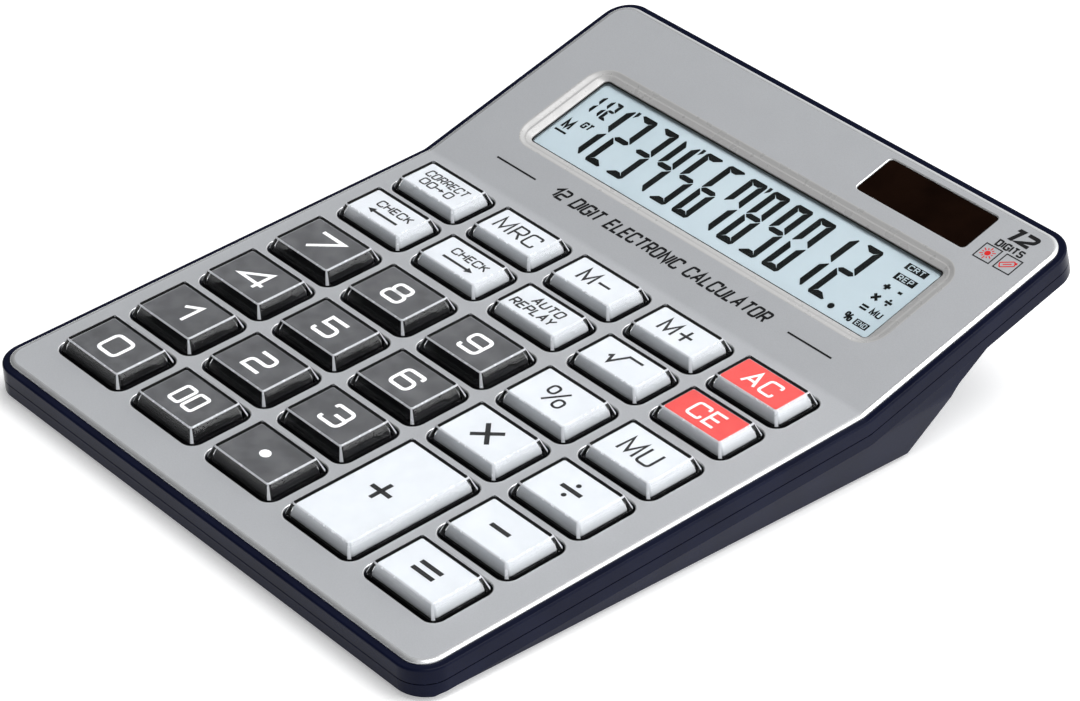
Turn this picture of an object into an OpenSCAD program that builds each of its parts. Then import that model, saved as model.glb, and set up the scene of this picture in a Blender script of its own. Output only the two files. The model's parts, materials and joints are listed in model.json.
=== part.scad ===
// Desktop calculator: a bent faceplate on a wedge-shaped two-part case, with
// 29 sprung keys, a tilted display, a solar cell and a sliding battery door.
//
// Two local frames share one origin, on the plate's top face where it bends.
// deck() holds the key deck: y runs back along it (negative towards the front),
// z is the height above the plate's top face. display() holds the display panel
// behind the bend in the same way. Millimetres throughout.

/* [Body] */
// Width of the case
case_w = 150; // [146:0.5:160]
// Length of the faceplate from its front edge to the bend
deck_len = 123; // [121:0.5:130]
// Length of the faceplate from the bend to its back edge
display_len = 64.7; // [64:0.1:72]
// Slope of the key deck to the desk, in degrees
deck_tilt = 4.5; // [4.5:0.1:5]
// Slope of the display panel to the desk, in degrees
display_tilt = 18; // [17:0.1:19]
// Strip of case that shows round the faceplate
rim = 1.8; // [1.5:0.1:2.5]
// Corner radius of the case
case_r = 7.3; // [5:0.1:9]
// Corner radius of the faceplate
plate_r = 5.5; // [4:0.1:7]
// Depth of the parting line below the plate's top face
parting_depth = 4.5; // [4.2:0.1:4.8]
// Depth of the edge below which the lower case draws in
crease_depth = 7.4; // [7.4:0.1:8]
// Thickness of the side walls
wall = 1.8; // [1.5:0.1:2]
// Thickness of the floor and of the panel under the plate
panel_t = 1.6; // [1.5:0.1:1.6]
// Thickness of the faceplate
plate_t = 0.7; // [0.5:0.1:0.8]
// Height of the rubber feet below the case
foot_h = 1; // [0.8:0.1:2]

/* [Keys] */
// Distance between the key columns
col_pitch = 27; // [27:0.1:27.5]
// Distance between the four front rows
row_pitch = 19.4; // [19.4:0.1:19.6]
// Distance between the two back rows
upper_pitch = 16.4; // [16.4:0.1:16.6]
// Width of a key opening
hole_w = 24; // [23:0.1:24]
// Depth of an opening in the four front rows
hole_d = 17.6; // [17:0.1:17.6]
// Depth of an opening in the two back rows
upper_hole_d = 14.7; // [14:0.1:14.7]
// Corner radius of an opening
hole_r = 3.1; // [2.5:0.1:3.5]
// Corner radius of a key
key_r = 1.6; // [1.2:0.1:2.3]
// Faceplate in front of the first row of openings
front_margin = 10.3; // [10:0.1:11]
// Faceplate between the front rows' and the back rows' openings
group_gap = 2.85; // [2.5:0.05:3]
// Middle of the key columns, from the middle of the case
grid_x = -1.4; // [-1.5:0.1:0]
// Height of a key above the plate
key_rise = 3.1; // [2.5:0.1:4]
// Travel of a key
key_travel = 1.3; // [1:0.1:1.3]

/* [Display] */
// Width of the recess round the display
recess_w = 120; // [118:0.5:120]
// Depth of the recess round the display, front to back
recess_d = 31; // [30:0.1:31]
// Front edge of the recess behind the bend
recess_y = 14.6; // [14.5:0.1:15]
// Width of the recess's bevel at the sides
bevel_x = 3.7; // [3.5:0.1:4.4]
// Width of the recess's bevel at the front and back
bevel_y = 2.7; // [2:0.1:2.7]
// How far the recess goes down
recess_depth = 1.1; // [1:0.1:1.2]
// Middle of the solar window, from the middle of the case
solar_x = 38; // [30:0.5:40]
// Middle of the solar window behind the bend
solar_y = 56; // [55:0.1:56]
// Width of the solar window
solar_w = 34; // [30:0.5:35]
// Depth of the solar window, front to back
solar_d = 12; // [10:0.5:12]
// Corner radius of the solar window
solar_r = 1.1; // [0.8:0.1:1.5]

/* [Battery] */
// Radius of the battery cell
cell_r = 7.1; // [7:0.05:7.2]
// Length of the battery cell with its button
cell_len = 50.2; // [49:0.1:50.5]

/* [Hidden] */
$fn = 48;
recess = [recess_w, recess_d];
solar_at = [solar_x, solar_y];
solar = [solar_w, solar_d];
PLATE_W = case_w - 2 * rim;
BETA = display_tilt - deck_tilt;
FRONT = -deck_len - rim;
BACK = display_len + rim;
// Where the bend lies, so that the whole object stands centred on its origin
BEND_Z = foot_h - FRONT * sin(deck_tilt) + crease_depth * cos(deck_tilt);
BEND_Y = -(FRONT * cos(deck_tilt) + plate_t * sin(deck_tilt)
    + BACK * cos(display_tilt) + crease_depth * sin(display_tilt)) / 2;

// The back of the wedge: its foot, and the shoulder under the display
FOOT_Y = BEND_Y + 16.3;
SHOULDER = [BEND_Y + 28.4, 15.4];
WEDGE_END = 38;
WEDGE_INSET = 0.6;
DRAFT = 0.2;

// Heights in the local frames
PANEL_BOTTOM = -plate_t - panel_t;
FLANGE_TOP = -2.5;
FLANGE_BOTTOM = FLANGE_TOP - 1;
// The mat's face lies just out of a pressed key's reach
MAT_TOP = FLANGE_BOTTOM - key_travel - 0.2;
MAT_T = 0.7;
BOARD_TOP = MAT_TOP - MAT_T;
BOARD_BOTTOM = BOARD_TOP - 1;
BOARD_X = [-72.3, 71.5];
BOARD_BACK = -0.5;
BOARD_FRONT = -110.5;
MAT_X = [-68, 66];
KEY_GAP = 0.8;
KEY_DRAFT = [1.7, 1.35];
FLANGE_OUT = 0.5;
CAP_T = 1.0;
CAP_TOP_T = 0.8;
CORE_WALL = 1.2;
STEM_R = 2.8;
DOME_R = [4.6, 3];
DOME_WALL = 0.5;
GLUE = 0.03;

// The recess's turned-down lip, and the lens glued under it
RECESS_LIP = 0.3;
LENS_TOP = -recess_depth - RECESS_LIP - 0.05;
LENS_T = 0.7;
LCD = [115, 29.6];
LCD_TOP = LENS_TOP - LENS_T - 0.15;
LCD_T = 1.8;
LCD_Y = recess_y + recess[1] / 2;
HOLDER = [120, 34];
HOLDER_TOP = -2.4;
HOLDER_BOTTOM = -5.6;
RIBBON_X = 34;
RIBBON_W = 36;
RIBBON_T = 0.15;
LEAD_R = 0.5;

// Screws: across, along, in the frame named
FRONT_SCREWS = [[-52, -118.2], [52, -118.2]];
MID_SCREWS = [[-60, 5], [60, 5]];
REAR_SCREWS = [[-67, 52], [67, 52]];
BOARD_SCREWS = [for (y = [-92, -50, -8], x = [-70.4, 69]) [x, y]];
SCREW_R = 1;
SCREW_HEAD_R = 2;
PILOT_R = SCREW_R + 0.05;
POCKET_R = 2.3;
BOSS_R = 2.3;
POST_R = 3.2;
SEAT = -6.4;
MID_SEAT = deck_height(5, foot_h) + 6;
// How far the panel over the middle screws stands above the deck's panel
MID_LIFT = 1.1;
BOARD_SCREW_R = 0.8;
BOARD_BOSS_R = 1.8;

FEET = [for (x = [-66, 66]) [x, BEND_Y + 11.5], for (x = [-62, 62]) [x, BEND_Y - 112]];
FOOT_R = 4;
FOOT_RECESS = 0.5;

// Battery bay, across and in the ground's frame
BAY_X = [-51, 6];
RIB_T = 1.4;
CELL_Y = BEND_Y + 9;
CELL_Z = 10.4;
CELL_X1 = BAY_X[1] - 0.7;
CELL_X0 = CELL_X1 - cell_len;
DOOR_X = (BAY_X[0] + BAY_X[1]) / 2;
DOOR_HALF = 26.7;
TONGUE = 1.2;
DOOR_FRONT = BEND_Y + 1.8;
DOOR_BACK = FOOT_Y - 0.1;
DOOR_GAP = 0.2;
LIP_T = 0.8;
SPRING_TURNS = 3.5;

FLOOR_TOP = foot_h + panel_t;

DARK = "#3c3e40";
WHITE = "#e9edf2";
RED = "#d8202c";
NAVY = "#1b1c30";

// Key name, column, row and core colour. The plus key takes two rows.
KEYS = [
    ["key_0", 0, 0, DARK], ["key_00", 1, 0, DARK], ["key_point", 2, 0, DARK],
    ["key_plus", 3, 0, WHITE], ["key_equals", 4, 0, WHITE],
    ["key_1", 0, 1, DARK], ["key_2", 1, 1, DARK], ["key_3", 2, 1, DARK], ["key_minus", 4, 1, WHITE],
    ["key_4", 0, 2, DARK], ["key_5", 1, 2, DARK], ["key_6", 2, 2, DARK],
    ["key_multiply", 3, 2, WHITE], ["key_divide", 4, 2, WHITE],
    ["key_7", 0, 3, DARK], ["key_8", 1, 3, DARK], ["key_9", 2, 3, DARK],
    ["key_percent", 3, 3, WHITE], ["key_markup", 4, 3, WHITE],
    ["key_check_back", 0, 4, WHITE], ["key_check_forward", 1, 4, WHITE],
    ["key_auto_replay", 2, 4, WHITE], ["key_square_root", 3, 4, WHITE], ["key_clear_entry", 4, 4, RED],
    ["key_correct", 0, 5, WHITE], ["key_memory_recall", 1, 5, WHITE],
    ["key_memory_minus", 2, 5, WHITE], ["key_memory_plus", 3, 5, WHITE], ["key_all_clear", 4, 5, RED]
];

// ---- Places ----

module deck() { translate([0, BEND_Y, BEND_Z]) rotate([deck_tilt, 0, 0]) children(); }

module display() { translate([0, BEND_Y, BEND_Z]) rotate([display_tilt, 0, 0]) children(); }

// Ground-frame [y, z] of a point given along a panel and above it
function on_slope(a, y, h) = [BEND_Y + y * cos(a) - h * sin(a), BEND_Z + y * sin(a) + h * cos(a)];
function on_deck(y, h) = on_slope(deck_tilt, y, h);
function on_display(y, h) = on_slope(display_tilt, y, h);
// The corner where the deck's and the display's planes at one height meet
function corner(h) = on_deck(-h * tan(BETA / 2), h);
// The height above the deck of the ground-frame height z, at y along the deck
function deck_height(y, z) = (z - BEND_Z - y * sin(deck_tilt)) / cos(deck_tilt);

// The middle of a key's opening along the deck, and its depth
function hole_depth(row) = row < 4 ? hole_d : upper_hole_d;
function row_y(row) = -deck_len + front_margin
    + (row < 4 ? hole_d / 2 + row * row_pitch
        : 3 * row_pitch + hole_d + group_gap + upper_hole_d / 2 + (row - 4) * upper_pitch);
function is_tall(key) = key[0] == "key_plus";
function key_x(key) = grid_x + (key[1] - 2) * col_pitch;
function key_y(key) = row_y(key[2]) + (is_tall(key) ? row_pitch / 2 : 0);
function key_hole(key) = [hole_w, hole_depth(key[2]) + (is_tall(key) ? row_pitch : 0)];

// ---- Shapes ----

// A polygon in the ground's y-z plane, extruded across the object
module across(half_w) { rotate([90, 0, 90]) linear_extrude(2 * half_w, center = true) children(); }

module rounded_rect(size, r) {
    square([size[0] - 2 * r, size[1]], center = true);
    square([size[0], size[1] - 2 * r], center = true);
    for (x = [-1, 1], y = [-1, 1])
        translate([x * (size[0] / 2 - r), y * (size[1] / 2 - r)]) circle(r);
}

module block(size, z0, z1) {
    translate([-size[0] / 2, -size[1] / 2, z0]) cube([size[0], size[1], z1 - z0]);
}

// A half-endless outline with two rounded corners at y = 0, extruded both ways
module end_prism(half_w, r) {
    translate([0, 0, -80]) linear_extrude(160) {
        translate([-half_w, r]) square([2 * half_w, 400]);
        translate([-half_w + r, 0]) square([2 * (half_w - r), 2 * r]);
        for (x = [-1, 1]) translate([x * (half_w - r), r]) circle(r);
    }
}

// What lies inside the outline that stands out past the plate by margin
module outline(margin, r) {
    half_w = PLATE_W / 2 + margin;
    intersection() {
        children();
        deck() translate([0, -deck_len - margin, 0]) end_prism(half_w, r);
        display() translate([0, display_len + margin, 0]) rotate([0, 0, 180]) end_prism(half_w, r);
    }
}

// A bent slab between two heights below the plate's top face
module bent_slab(h_top, h_bottom, margin, r) {
    front = -deck_len - margin - 1;
    back = display_len + margin + 1;
    outline(margin, r) across(case_w) polygon([
        on_deck(front, h_top), corner(h_top), on_display(back, h_top),
        on_display(back, h_bottom), corner(h_bottom), on_deck(front, h_bottom)
    ]);
}

// A four-sided block with straight sides below z1 and drafted sides above
module drafted(size, draft, z0, z1, z2) {
    half = size / 2;
    intersection() {
        rotate([90, 0, 0]) linear_extrude(size[1] + 1, center = true) polygon([
            [-half[0], z0], [half[0], z0], [half[0], z1],
            [half[0] - draft[0], z2], [-half[0] + draft[0], z2], [-half[0], z1]
        ]);
        rotate([90, 0, 90]) linear_extrude(size[0] + 1, center = true) polygon([
            [-half[1], z0], [half[1], z0], [half[1], z1],
            [half[1] - draft[1], z2], [-half[1] + draft[1], z2], [-half[1], z1]
        ]);
        translate([0, 0, z0 - 1]) linear_extrude(z2 - z0 + 2) rounded_rect(size, key_r);
    }
}

// A smooth run of points through a route's corners, n to each leg
function bend(a, b, c, d, t) = 0.5 * (2 * b + (c - a) * t
    + (2 * a - 5 * b + 4 * c - d) * t * t + (3 * b - a - 3 * c + d) * t * t * t);
function smooth(route, n) = [for (i = [0:len(route) - 2], k = [0:n - (i < len(route) - 2 ? 1 : 0)])
    bend(route[max(i - 1, 0)], route[i], route[i + 1], route[min(i + 2, len(route) - 1)], k / n)];

// A tube through points, with rings square to the way through each one.
// The tube never runs along the direction given as up.
function unit(v) = v / norm(v);
function heading(points, i) = unit(points[min(i + 1, len(points) - 1)] - points[max(i - 1, 0)]);
module tube(points, r, sides, up) {
    rings = len(points);
    ring_points = [for (i = [0:rings - 1], k = [0:sides - 1])
        let (d = heading(points, i), a = unit(cross(d, up)), b = cross(d, a), t = 360 * k / sides)
        points[i] + r * (cos(t) * a + sin(t) * b)];
    side_faces = [for (i = [0:rings - 2], k = [0:sides - 1])
        let (n = (k + 1) % sides)
        [i * sides + n, i * sides + k, (i + 1) * sides + k, (i + 1) * sides + n]];
    first = [for (k = [0:sides - 1]) k];
    last = [for (k = [sides - 1:-1:0]) (rings - 1) * sides + k];
    polyhedron(points = ring_points, faces = concat([first, last], side_faces));
}

module screw(shank_r, shank_len, head_r, head_t) {
    cylinder(r = shank_r, h = shank_len);
    difference() {
        translate([0, 0, -head_t]) cylinder(r = head_r, h = head_t);
        for (a = [0, 90]) rotate([0, 0, a]) block([head_r * 1.2, head_r * 0.3], -head_t - 1, -head_t / 2);
    }
}

// ---- Keys: a coloured core with a flange under the case, and a clear cap on it ----

module key_core(hole) {
    size = hole - 2 * (KEY_GAP + CAP_T) * [1, 1];
    inner = size - 2 * CORE_WALL * [1, 1];
    top = key_rise - CAP_TOP_T;
    difference() {
        union() {
            drafted(size, KEY_DRAFT, FLANGE_TOP - 0.1, -0.2, top);
            translate([0, 0, FLANGE_BOTTOM]) linear_extrude(FLANGE_TOP - FLANGE_BOTTOM)
                rounded_rect([hole[0] + 2 * FLANGE_OUT, hole[1] + 2 * FLANGE_OUT], hole_r);
        }
        drafted(inner, KEY_DRAFT, FLANGE_BOTTOM - 1, -0.2, top - CORE_WALL);
    }
    // The stem that presses on the dome
    translate([0, 0, FLANGE_BOTTOM]) cylinder(r = STEM_R, h = top - FLANGE_BOTTOM - 0.4);
}

module key_cap(hole) {
    size = hole - 2 * KEY_GAP * [1, 1];
    inner = size - 2 * (CAP_T - GLUE) * [1, 1];
    difference() {
        drafted(size, KEY_DRAFT, -1.6, 0, key_rise);
        drafted(inner, KEY_DRAFT, -3, -0.2, key_rise - CAP_TOP_T + GLUE);
    }
}

module key(name) {
    entry = [for (k = KEYS) if (k[0] == name) k][0];
    hole = key_hole(entry);
    deck() translate([key_x(entry), key_y(entry), 0]) {
        color(entry[3]) key_core(hole);
        color("#dfe6ec", 0.35) key_cap(hole);
    }
}

module key_holes(z0, z1) {
    for (k = KEYS) translate([key_x(k), key_y(k), z0])
        linear_extrude(z1 - z0) rounded_rect(key_hole(k), hole_r);
}

// ---- Faceplate ----

// The space of the display recess: sloped sides down to its depth, then straight ones
module recess_space() {
    half = recess / 2;
    draw_in = [bevel_x, bevel_y];
    grow = draw_in / recess_depth;
    translate([0, LCD_Y, 0]) {
        intersection() {
            rotate([90, 0, 0]) linear_extrude(recess[1] + 9, center = true) polygon([
                [-half[0] - grow[0], 1], [-half[0] + draw_in[0], -recess_depth],
                [half[0] - draw_in[0], -recess_depth], [half[0] + grow[0], 1]
            ]);
            rotate([90, 0, 90]) linear_extrude(recess[0] + 9, center = true) polygon([
                [-half[1] - grow[1], 1], [-half[1] + draw_in[1], -recess_depth],
                [half[1] - draw_in[1], -recess_depth], [half[1] + grow[1], 1]
            ]);
        }
        block(recess - 2 * draw_in, -recess_depth - 3, -recess_depth + 0.1);
    }
}

module faceplate() {
    color("#b9bcc1") difference() {
        union() {
            bent_slab(0, -plate_t, 0, plate_r);
            display() translate([0, LCD_Y, 0])
                block(recess - [0.2, 0.2], -recess_depth - RECESS_LIP, -0.1);
        }
        display() recess_space();
        deck() key_holes(-3, 2);
        display() translate([solar_x, solar_y, -3]) linear_extrude(5) rounded_rect(solar, solar_r);
    }
}

// ---- Case ----

module top_case() {
    color(NAVY) {
        difference() {
            bent_slab(-plate_t, -parting_depth, rim, case_r);
            bent_slab(PANEL_BOTTOM, -parting_depth - 2, rim - wall, case_r - wall);
            deck() key_holes(-5, 2);
            display() {
                translate([0, LCD_Y, 0]) block([recess[0] + 1.2, recess[1] + 1.2], -5, 2);
                translate(solar_at) block([solar[0] + 2.4, solar[1] + 1.4], -5, 2);
            }
        }
        deck() for (p = FRONT_SCREWS) boss(p, -parting_depth, BOSS_R, PILOT_R);
        deck() for (p = BOARD_SCREWS) boss(p, BOARD_TOP, BOARD_BOSS_R, BOARD_SCREW_R + 0.05);
        display() for (p = REAR_SCREWS) boss(p, -parting_depth, BOSS_R, PILOT_R);
        deck() translate([0, 0, MID_LIFT])
            for (p = MID_SCREWS) boss(p, -parting_depth - MID_LIFT, BOSS_R, PILOT_R);
    }
}

// A boss that hangs from the panel, with a blind hole for a screw
module boss(at, bottom, r, hole) {
    translate([at[0], at[1], bottom]) difference() {
        cylinder(r = r, h = PANEL_BOTTOM - bottom + 0.4);
        translate([0, 0, -1]) cylinder(r = hole, h = PANEL_BOTTOM - bottom + 0.8);
    }
}

// The whole outer form of the lower case, drawn in by t on every side
module lower_form(t) {
    lift = t > 0 ? 1 : 0;
    low = t > 0 ? panel_t : 0;
    bent_slab(-parting_depth + lift, -crease_depth + low, rim - t, case_r - t);
    outline(rim - t, case_r - t) intersection() {
        across(case_w) polygon([
            on_deck(FRONT + t, -crease_depth + low),
            [FOOT_Y - 0.47 * low, foot_h + low],
            SHOULDER + [-0.7, 0.75] * low,
            on_display(WEDGE_END - low, -crease_depth + low),
            on_display(WEDGE_END - low, -crease_depth + low + 0.5),
            corner(-crease_depth + low + 0.5),
            on_deck(FRONT + t, -crease_depth + low + 0.5)
        ]);
        deck() drawn_in_sides(t);
    }
}

// The wedge's sides lean in towards the desk
module drawn_in_sides(t) {
    top = case_w / 2 - WEDGE_INSET - t;
    drop = 25;
    rotate([90, 0, 0]) linear_extrude(500, center = true) polygon([
        [-top, 40], [-top, -crease_depth], [-top + DRAFT * drop, -crease_depth - drop],
        [top - DRAFT * drop, -crease_depth - drop], [top, -crease_depth], [top, 40]
    ]);
}

// A hollow post for a screw, from the floor up to the parting line
module post(at, bottom) {
    translate([at[0], at[1], bottom]) cylinder(r = POST_R, h = -parting_depth - bottom);
}

module post_bores(at, seat) {
    translate([at[0], at[1], seat - 30]) cylinder(r = POCKET_R, h = 30);
    translate([at[0], at[1], seat - 1]) cylinder(r = SCREW_R + 0.2, h = 10);
}

module battery_ribs() {
    for (x = [BAY_X[0] - RIB_T, BAY_X[1]])
        translate([x, BEND_Y, foot_h]) cube([RIB_T, 40, 13]);
    translate([BAY_X[0] - RIB_T, BEND_Y + 0.2, foot_h]) cube([BAY_X[1] - BAY_X[0] + 2 * RIB_T, 1.2, 8.5]);
}

module bottom_case() {
    color(NAVY) difference() {
        union() {
            difference() {
                lower_form(0);
                lower_form(wall);
            }
            intersection() {
                lower_form(0);
                union() {
                    deck() for (p = FRONT_SCREWS) post(p, -crease_depth - 2);
                    deck() for (p = MID_SCREWS) post(p, -crease_depth - 12);
                    battery_ribs();
                }
            }
            display() for (p = REAR_SCREWS) post(p, -crease_depth + 0.4);
        }
        deck() for (p = FRONT_SCREWS) post_bores(p, SEAT);
        deck() for (p = MID_SCREWS) post_bores(p, MID_SEAT);
        display() for (p = REAR_SCREWS) post_bores(p, SEAT);
        for (p = FEET) translate([p[0], p[1], foot_h - 1]) cylinder(r = FOOT_R + 0.1, h = 1 + FOOT_RECESS);
        door_window();
    }
}

// The stepped slot for the door, open to the back
module door_window() {
    translate([DOOR_X, (DOOR_FRONT - DOOR_GAP + FOOT_Y + 9) / 2, 0]) {
        length = FOOT_Y + 9 - DOOR_FRONT + DOOR_GAP;
        block([2 * (DOOR_HALF + DOOR_GAP), length], foot_h - 1, FLOOR_TOP + 0.1);
        block([2 * (DOOR_HALF + TONGUE + DOOR_GAP), length], foot_h + LIP_T, FLOOR_TOP + 0.1);
    }
}

module battery_door() {
    color(NAVY) translate([DOOR_X, (DOOR_FRONT + DOOR_BACK) / 2, 0]) {
        length = DOOR_BACK - DOOR_FRONT;
        difference() {
            union() {
                block([2 * DOOR_HALF, length], foot_h, FLOOR_TOP);
                block([2 * (DOOR_HALF + TONGUE), length], foot_h + LIP_T + DOOR_GAP, FLOOR_TOP);
            }
            // Finger grooves across the outer face
            for (i = [-2:2]) translate([0, i * 1.6, 0]) block([16, 0.7], foot_h - 1, foot_h + 0.35);
        }
    }
}

module rubber_feet() {
    color("#26272b") for (p = FEET) translate([p[0], p[1], 0])
        cylinder(r = FOOT_R, h = foot_h + FOOT_RECESS);
}

// ---- Display ----

module display_window() {
    color("#cfd8dd", 0.3) display() translate([0, LCD_Y, 0])
        block([recess[0] - 0.2, recess[1] - 0.2], LENS_TOP - LENS_T, LENS_TOP);
}

// Two glass plates, the lower one longer at the front for the contact ledge
module lcd_cell() {
    color("#b9c6c9") display() translate([0, LCD_Y, 0]) {
        translate([0, 0.8, 0]) block([LCD[0], LCD[1] - 1.6], LCD_TOP - LCD_T / 2, LCD_TOP);
        block(LCD, LCD_TOP - LCD_T, LCD_TOP - LCD_T / 2);
    }
}

module lcd_reflector() {
    color("#c9cdd0") display() translate([0, LCD_Y, 0])
        block([LCD[0] - 1, LCD[1] - 1], LCD_TOP - LCD_T - 0.17, LCD_TOP - LCD_T - 0.02);
}

module lcd_holder() {
    color("#dadcdc") display() difference() {
        translate([0, LCD_Y, 0]) block(HOLDER, HOLDER_BOTTOM, HOLDER_TOP);
        translate([0, LCD_Y, 0]) block([LCD[0] + 0.3, LCD[1] + 0.3], LCD_TOP - LCD_T - 0.2, 2);
        // The way out for the ribbon
        translate([RIBBON_X, LCD_Y - HOLDER[1] / 2, 0])
            block([RIBBON_W + 1, 6], LCD_TOP - LCD_T / 2 - 0.02, 2);
    }
}

// A flat heat-sealed film from the glass's ledge down to the board
module lcd_ribbon() {
    ledge = LCD_TOP - LCD_T / 2 + 0.01;
    ledge_y = LCD_Y - LCD[1] / 2;
    line = [
        on_display(ledge_y + 1.2, ledge),
        on_display(ledge_y - 3.2, ledge),
        on_deck(BOARD_BACK + 0.5, BOARD_TOP + 0.5),
        on_deck(BOARD_BACK - 0.5, BOARD_TOP + 0.01)
    ];
    back = [for (i = [len(line) - 1:-1:0]) line[i] + [-0.02, RIBBON_T]];
    color("#b07a3a") translate([RIBBON_X, 0, 0]) across(RIBBON_W / 2) polygon(concat(line, back));
}

// ---- Solar cell ----

module solar_window() {
    color("#2a1715", 0.8) display() translate(solar_at) {
        translate([0, 0, -plate_t - 0.5]) linear_extrude(plate_t + 0.3)
            rounded_rect(solar - [0.2, 0.2], solar_r - 0.1);
        block([solar[0] + 2, solar[1] + 1], -plate_t - 0.75, -plate_t - 0.05);
    }
}

module solar_cell() {
    color("#241311") display() translate(solar_at)
        block([solar[0] + 1.8, solar[1] + 0.8], PANEL_BOTTOM - 0.3, -plate_t - 0.9);
}

module solar_leads() {
    for (i = [0, 1]) {
        x = 63.4 - 1.8 * i;
        route = [
            in_display([solar_at[0] + 13, solar_at[1] + 0.5 - 2.5 * i, PANEL_BOTTOM - 0.35 - LEAD_R]),
            in_display([solar_at[0] + 19, solar_at[1] - 1.5 - 2.5 * i, -3.9]),
            in_display([x - 1.5, solar_at[1] - 4.5 - 2.5 * i, -4.2]),
            in_display([x, 46, -4.4]),
            in_display([x, 30, -4.4]),
            in_display([x, 16, -4.6]),
            in_display([x + 2.4, 10, -5.2]),
            in_deck([x + 3.4, 3.5, -6.6]),
            in_deck([x + 3.4, 0.4, -6.3])
        ];
        color(i == 0 ? "#b02020" : "#202020") tube(smooth(route, 4), LEAD_R, 8, [0, 0, 1]);
    }
}

function in_display(p) = concat([p[0]], on_display(p[1], p[2]));
function in_deck(p) = concat([p[0]], on_deck(p[1], p[2]));

// ---- Key switches and board ----

module dome_mat() {
    color("#8d9196") deck() difference() {
        union() {
            translate([MAT_X[0], BOARD_FRONT + 0.5, BOARD_TOP])
                cube([MAT_X[1] - MAT_X[0], -BOARD_FRONT - 1.7, MAT_T]);
            for (k = KEYS) translate([key_x(k), key_y(k), MAT_TOP - 0.1])
                cylinder(r1 = DOME_R[0], r2 = DOME_R[1], h = FLANGE_BOTTOM - MAT_TOP + 0.08);
        }
        for (k = KEYS) translate([key_x(k), key_y(k), BOARD_TOP - 0.1])
            cylinder(r1 = DOME_R[0] - DOME_WALL, r2 = DOME_R[1] - DOME_WALL - 0.1, h = 1.6);
        translate([RIBBON_X, BOARD_BACK - 1, 0]) block([RIBBON_W + 1, 4], BOARD_TOP - 1, 0);
    }
}

module main_board() {
    color("#2f6b3a") deck() difference() {
        translate([BOARD_X[0], BOARD_FRONT, BOARD_BOTTOM])
            cube([BOARD_X[1] - BOARD_X[0], BOARD_BACK - BOARD_FRONT, BOARD_TOP - BOARD_BOTTOM]);
        for (p = BOARD_SCREWS) translate([p[0], p[1], BOARD_BOTTOM - 1])
            cylinder(r = BOARD_SCREW_R + 0.15, h = 3);
    }
}

// The glob of resin over the bare chip, under the board
module chip_blob() {
    color("#151515") deck() translate([8, -24, BOARD_BOTTOM]) difference() {
        translate([0, 0, 6]) sphere(r = 9);
        block([30, 30], 0, 20);
        block([30, 30], -20, -1.8);
    }
}

// Two capacitors, a crystal can and a row of resistors, under the board
module board_components() {
    deck() translate([0, 0, BOARD_BOTTOM]) {
        color("#3a3a55") for (x = [-34, -26]) translate([x, -20, -3.5]) cylinder(r = 2.5, h = 3.5);
        color("#c9c9c9") translate([27, -24, 0]) block([7.5, 2.4], -2, 0);
        color("#6b4a2a") for (i = [0:4]) translate([-14 + 3.5 * i, -10, 0]) block([1.6, 3.2], -0.8, 0);
    }
}

module board_screws() {
    color("#b5b5ba") deck() for (p = BOARD_SCREWS) translate([p[0], p[1], BOARD_BOTTOM])
        screw(BOARD_SCREW_R, 4.1, 1.5, 0.9);
}

module case_screws() {
    color("#3c3c40") {
        deck() for (p = FRONT_SCREWS) translate([p[0], p[1], SEAT]) screw(SCREW_R, 3.9, SCREW_HEAD_R, 1.1);
        deck() for (p = MID_SCREWS) translate([p[0], p[1], MID_SEAT])
            screw(SCREW_R, -MID_SEAT - 2.5, SCREW_HEAD_R, 1.3);
        display() for (p = REAR_SCREWS) translate([p[0], p[1], SEAT]) screw(SCREW_R, 3.9, SCREW_HEAD_R, 0.9);
    }
}

// ---- Battery ----

module along_cell() { translate([0, CELL_Y, CELL_Z]) rotate([0, 90, 0]) children(); }

module battery_cell() {
    color("#3f6f8f") along_cell() {
        translate([0, 0, CELL_X0]) cylinder(r = cell_r, h = cell_len - 1);
        translate([0, 0, CELL_X0]) cylinder(r = 2.7, h = cell_len);
    }
}

// A conical coil on a square contact plate
module battery_spring() {
    x0 = BAY_X[0] + 0.5;
    x1 = CELL_X0 - 0.45;
    steps = 56;
    coil = [for (i = [0:steps])
        let (s = i / steps, a = 360 * SPRING_TURNS * s, r = 4.6 - 2.2 * s)
        [x0 + 0.2 + (x1 - x0 - 0.2) * s, CELL_Y + r * cos(a), CELL_Z + r * sin(a)]];
    color("#c4c6ca") {
        translate([BAY_X[0] + 0.05, CELL_Y - 5, CELL_Z - 5]) cube([0.5, 10, 8]);
        tube(coil, 0.35, 6, [1, 0, 0]);
    }
}

module battery_plate() {
    color("#c4c6ca") difference() {
        translate([CELL_X1 + 0.05, CELL_Y - 4, CELL_Z - 4]) cube([BAY_X[1] - CELL_X1 - 0.1, 8, 7]);
        translate([CELL_X1 + 0.45, CELL_Y - 3, CELL_Z - 3]) cube([1, 6, 5]);
    }
}

module battery_leads() {
    y0 = CELL_Y - 5.5 - LEAD_R;
    for (x = [BAY_X[0] - RIB_T - 1.2, BAY_X[1] + RIB_T + 1.2]) {
        route = [
            [x, CELL_Y + 3, CELL_Z + 4.2],
            [x, CELL_Y - 1, CELL_Z + 4.4],
            [x, BEND_Y + 3.4, CELL_Z + 3.6],
            [x, BEND_Y + 1.6, CELL_Z + 2.2],
            in_deck([x, 0.6, BOARD_TOP - 0.8])
        ];
        color(x < DOOR_X ? "#202020" : "#b02020") tube(smooth(route, 4), LEAD_R, 8, [1, 0, 0]);
    }
}

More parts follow.
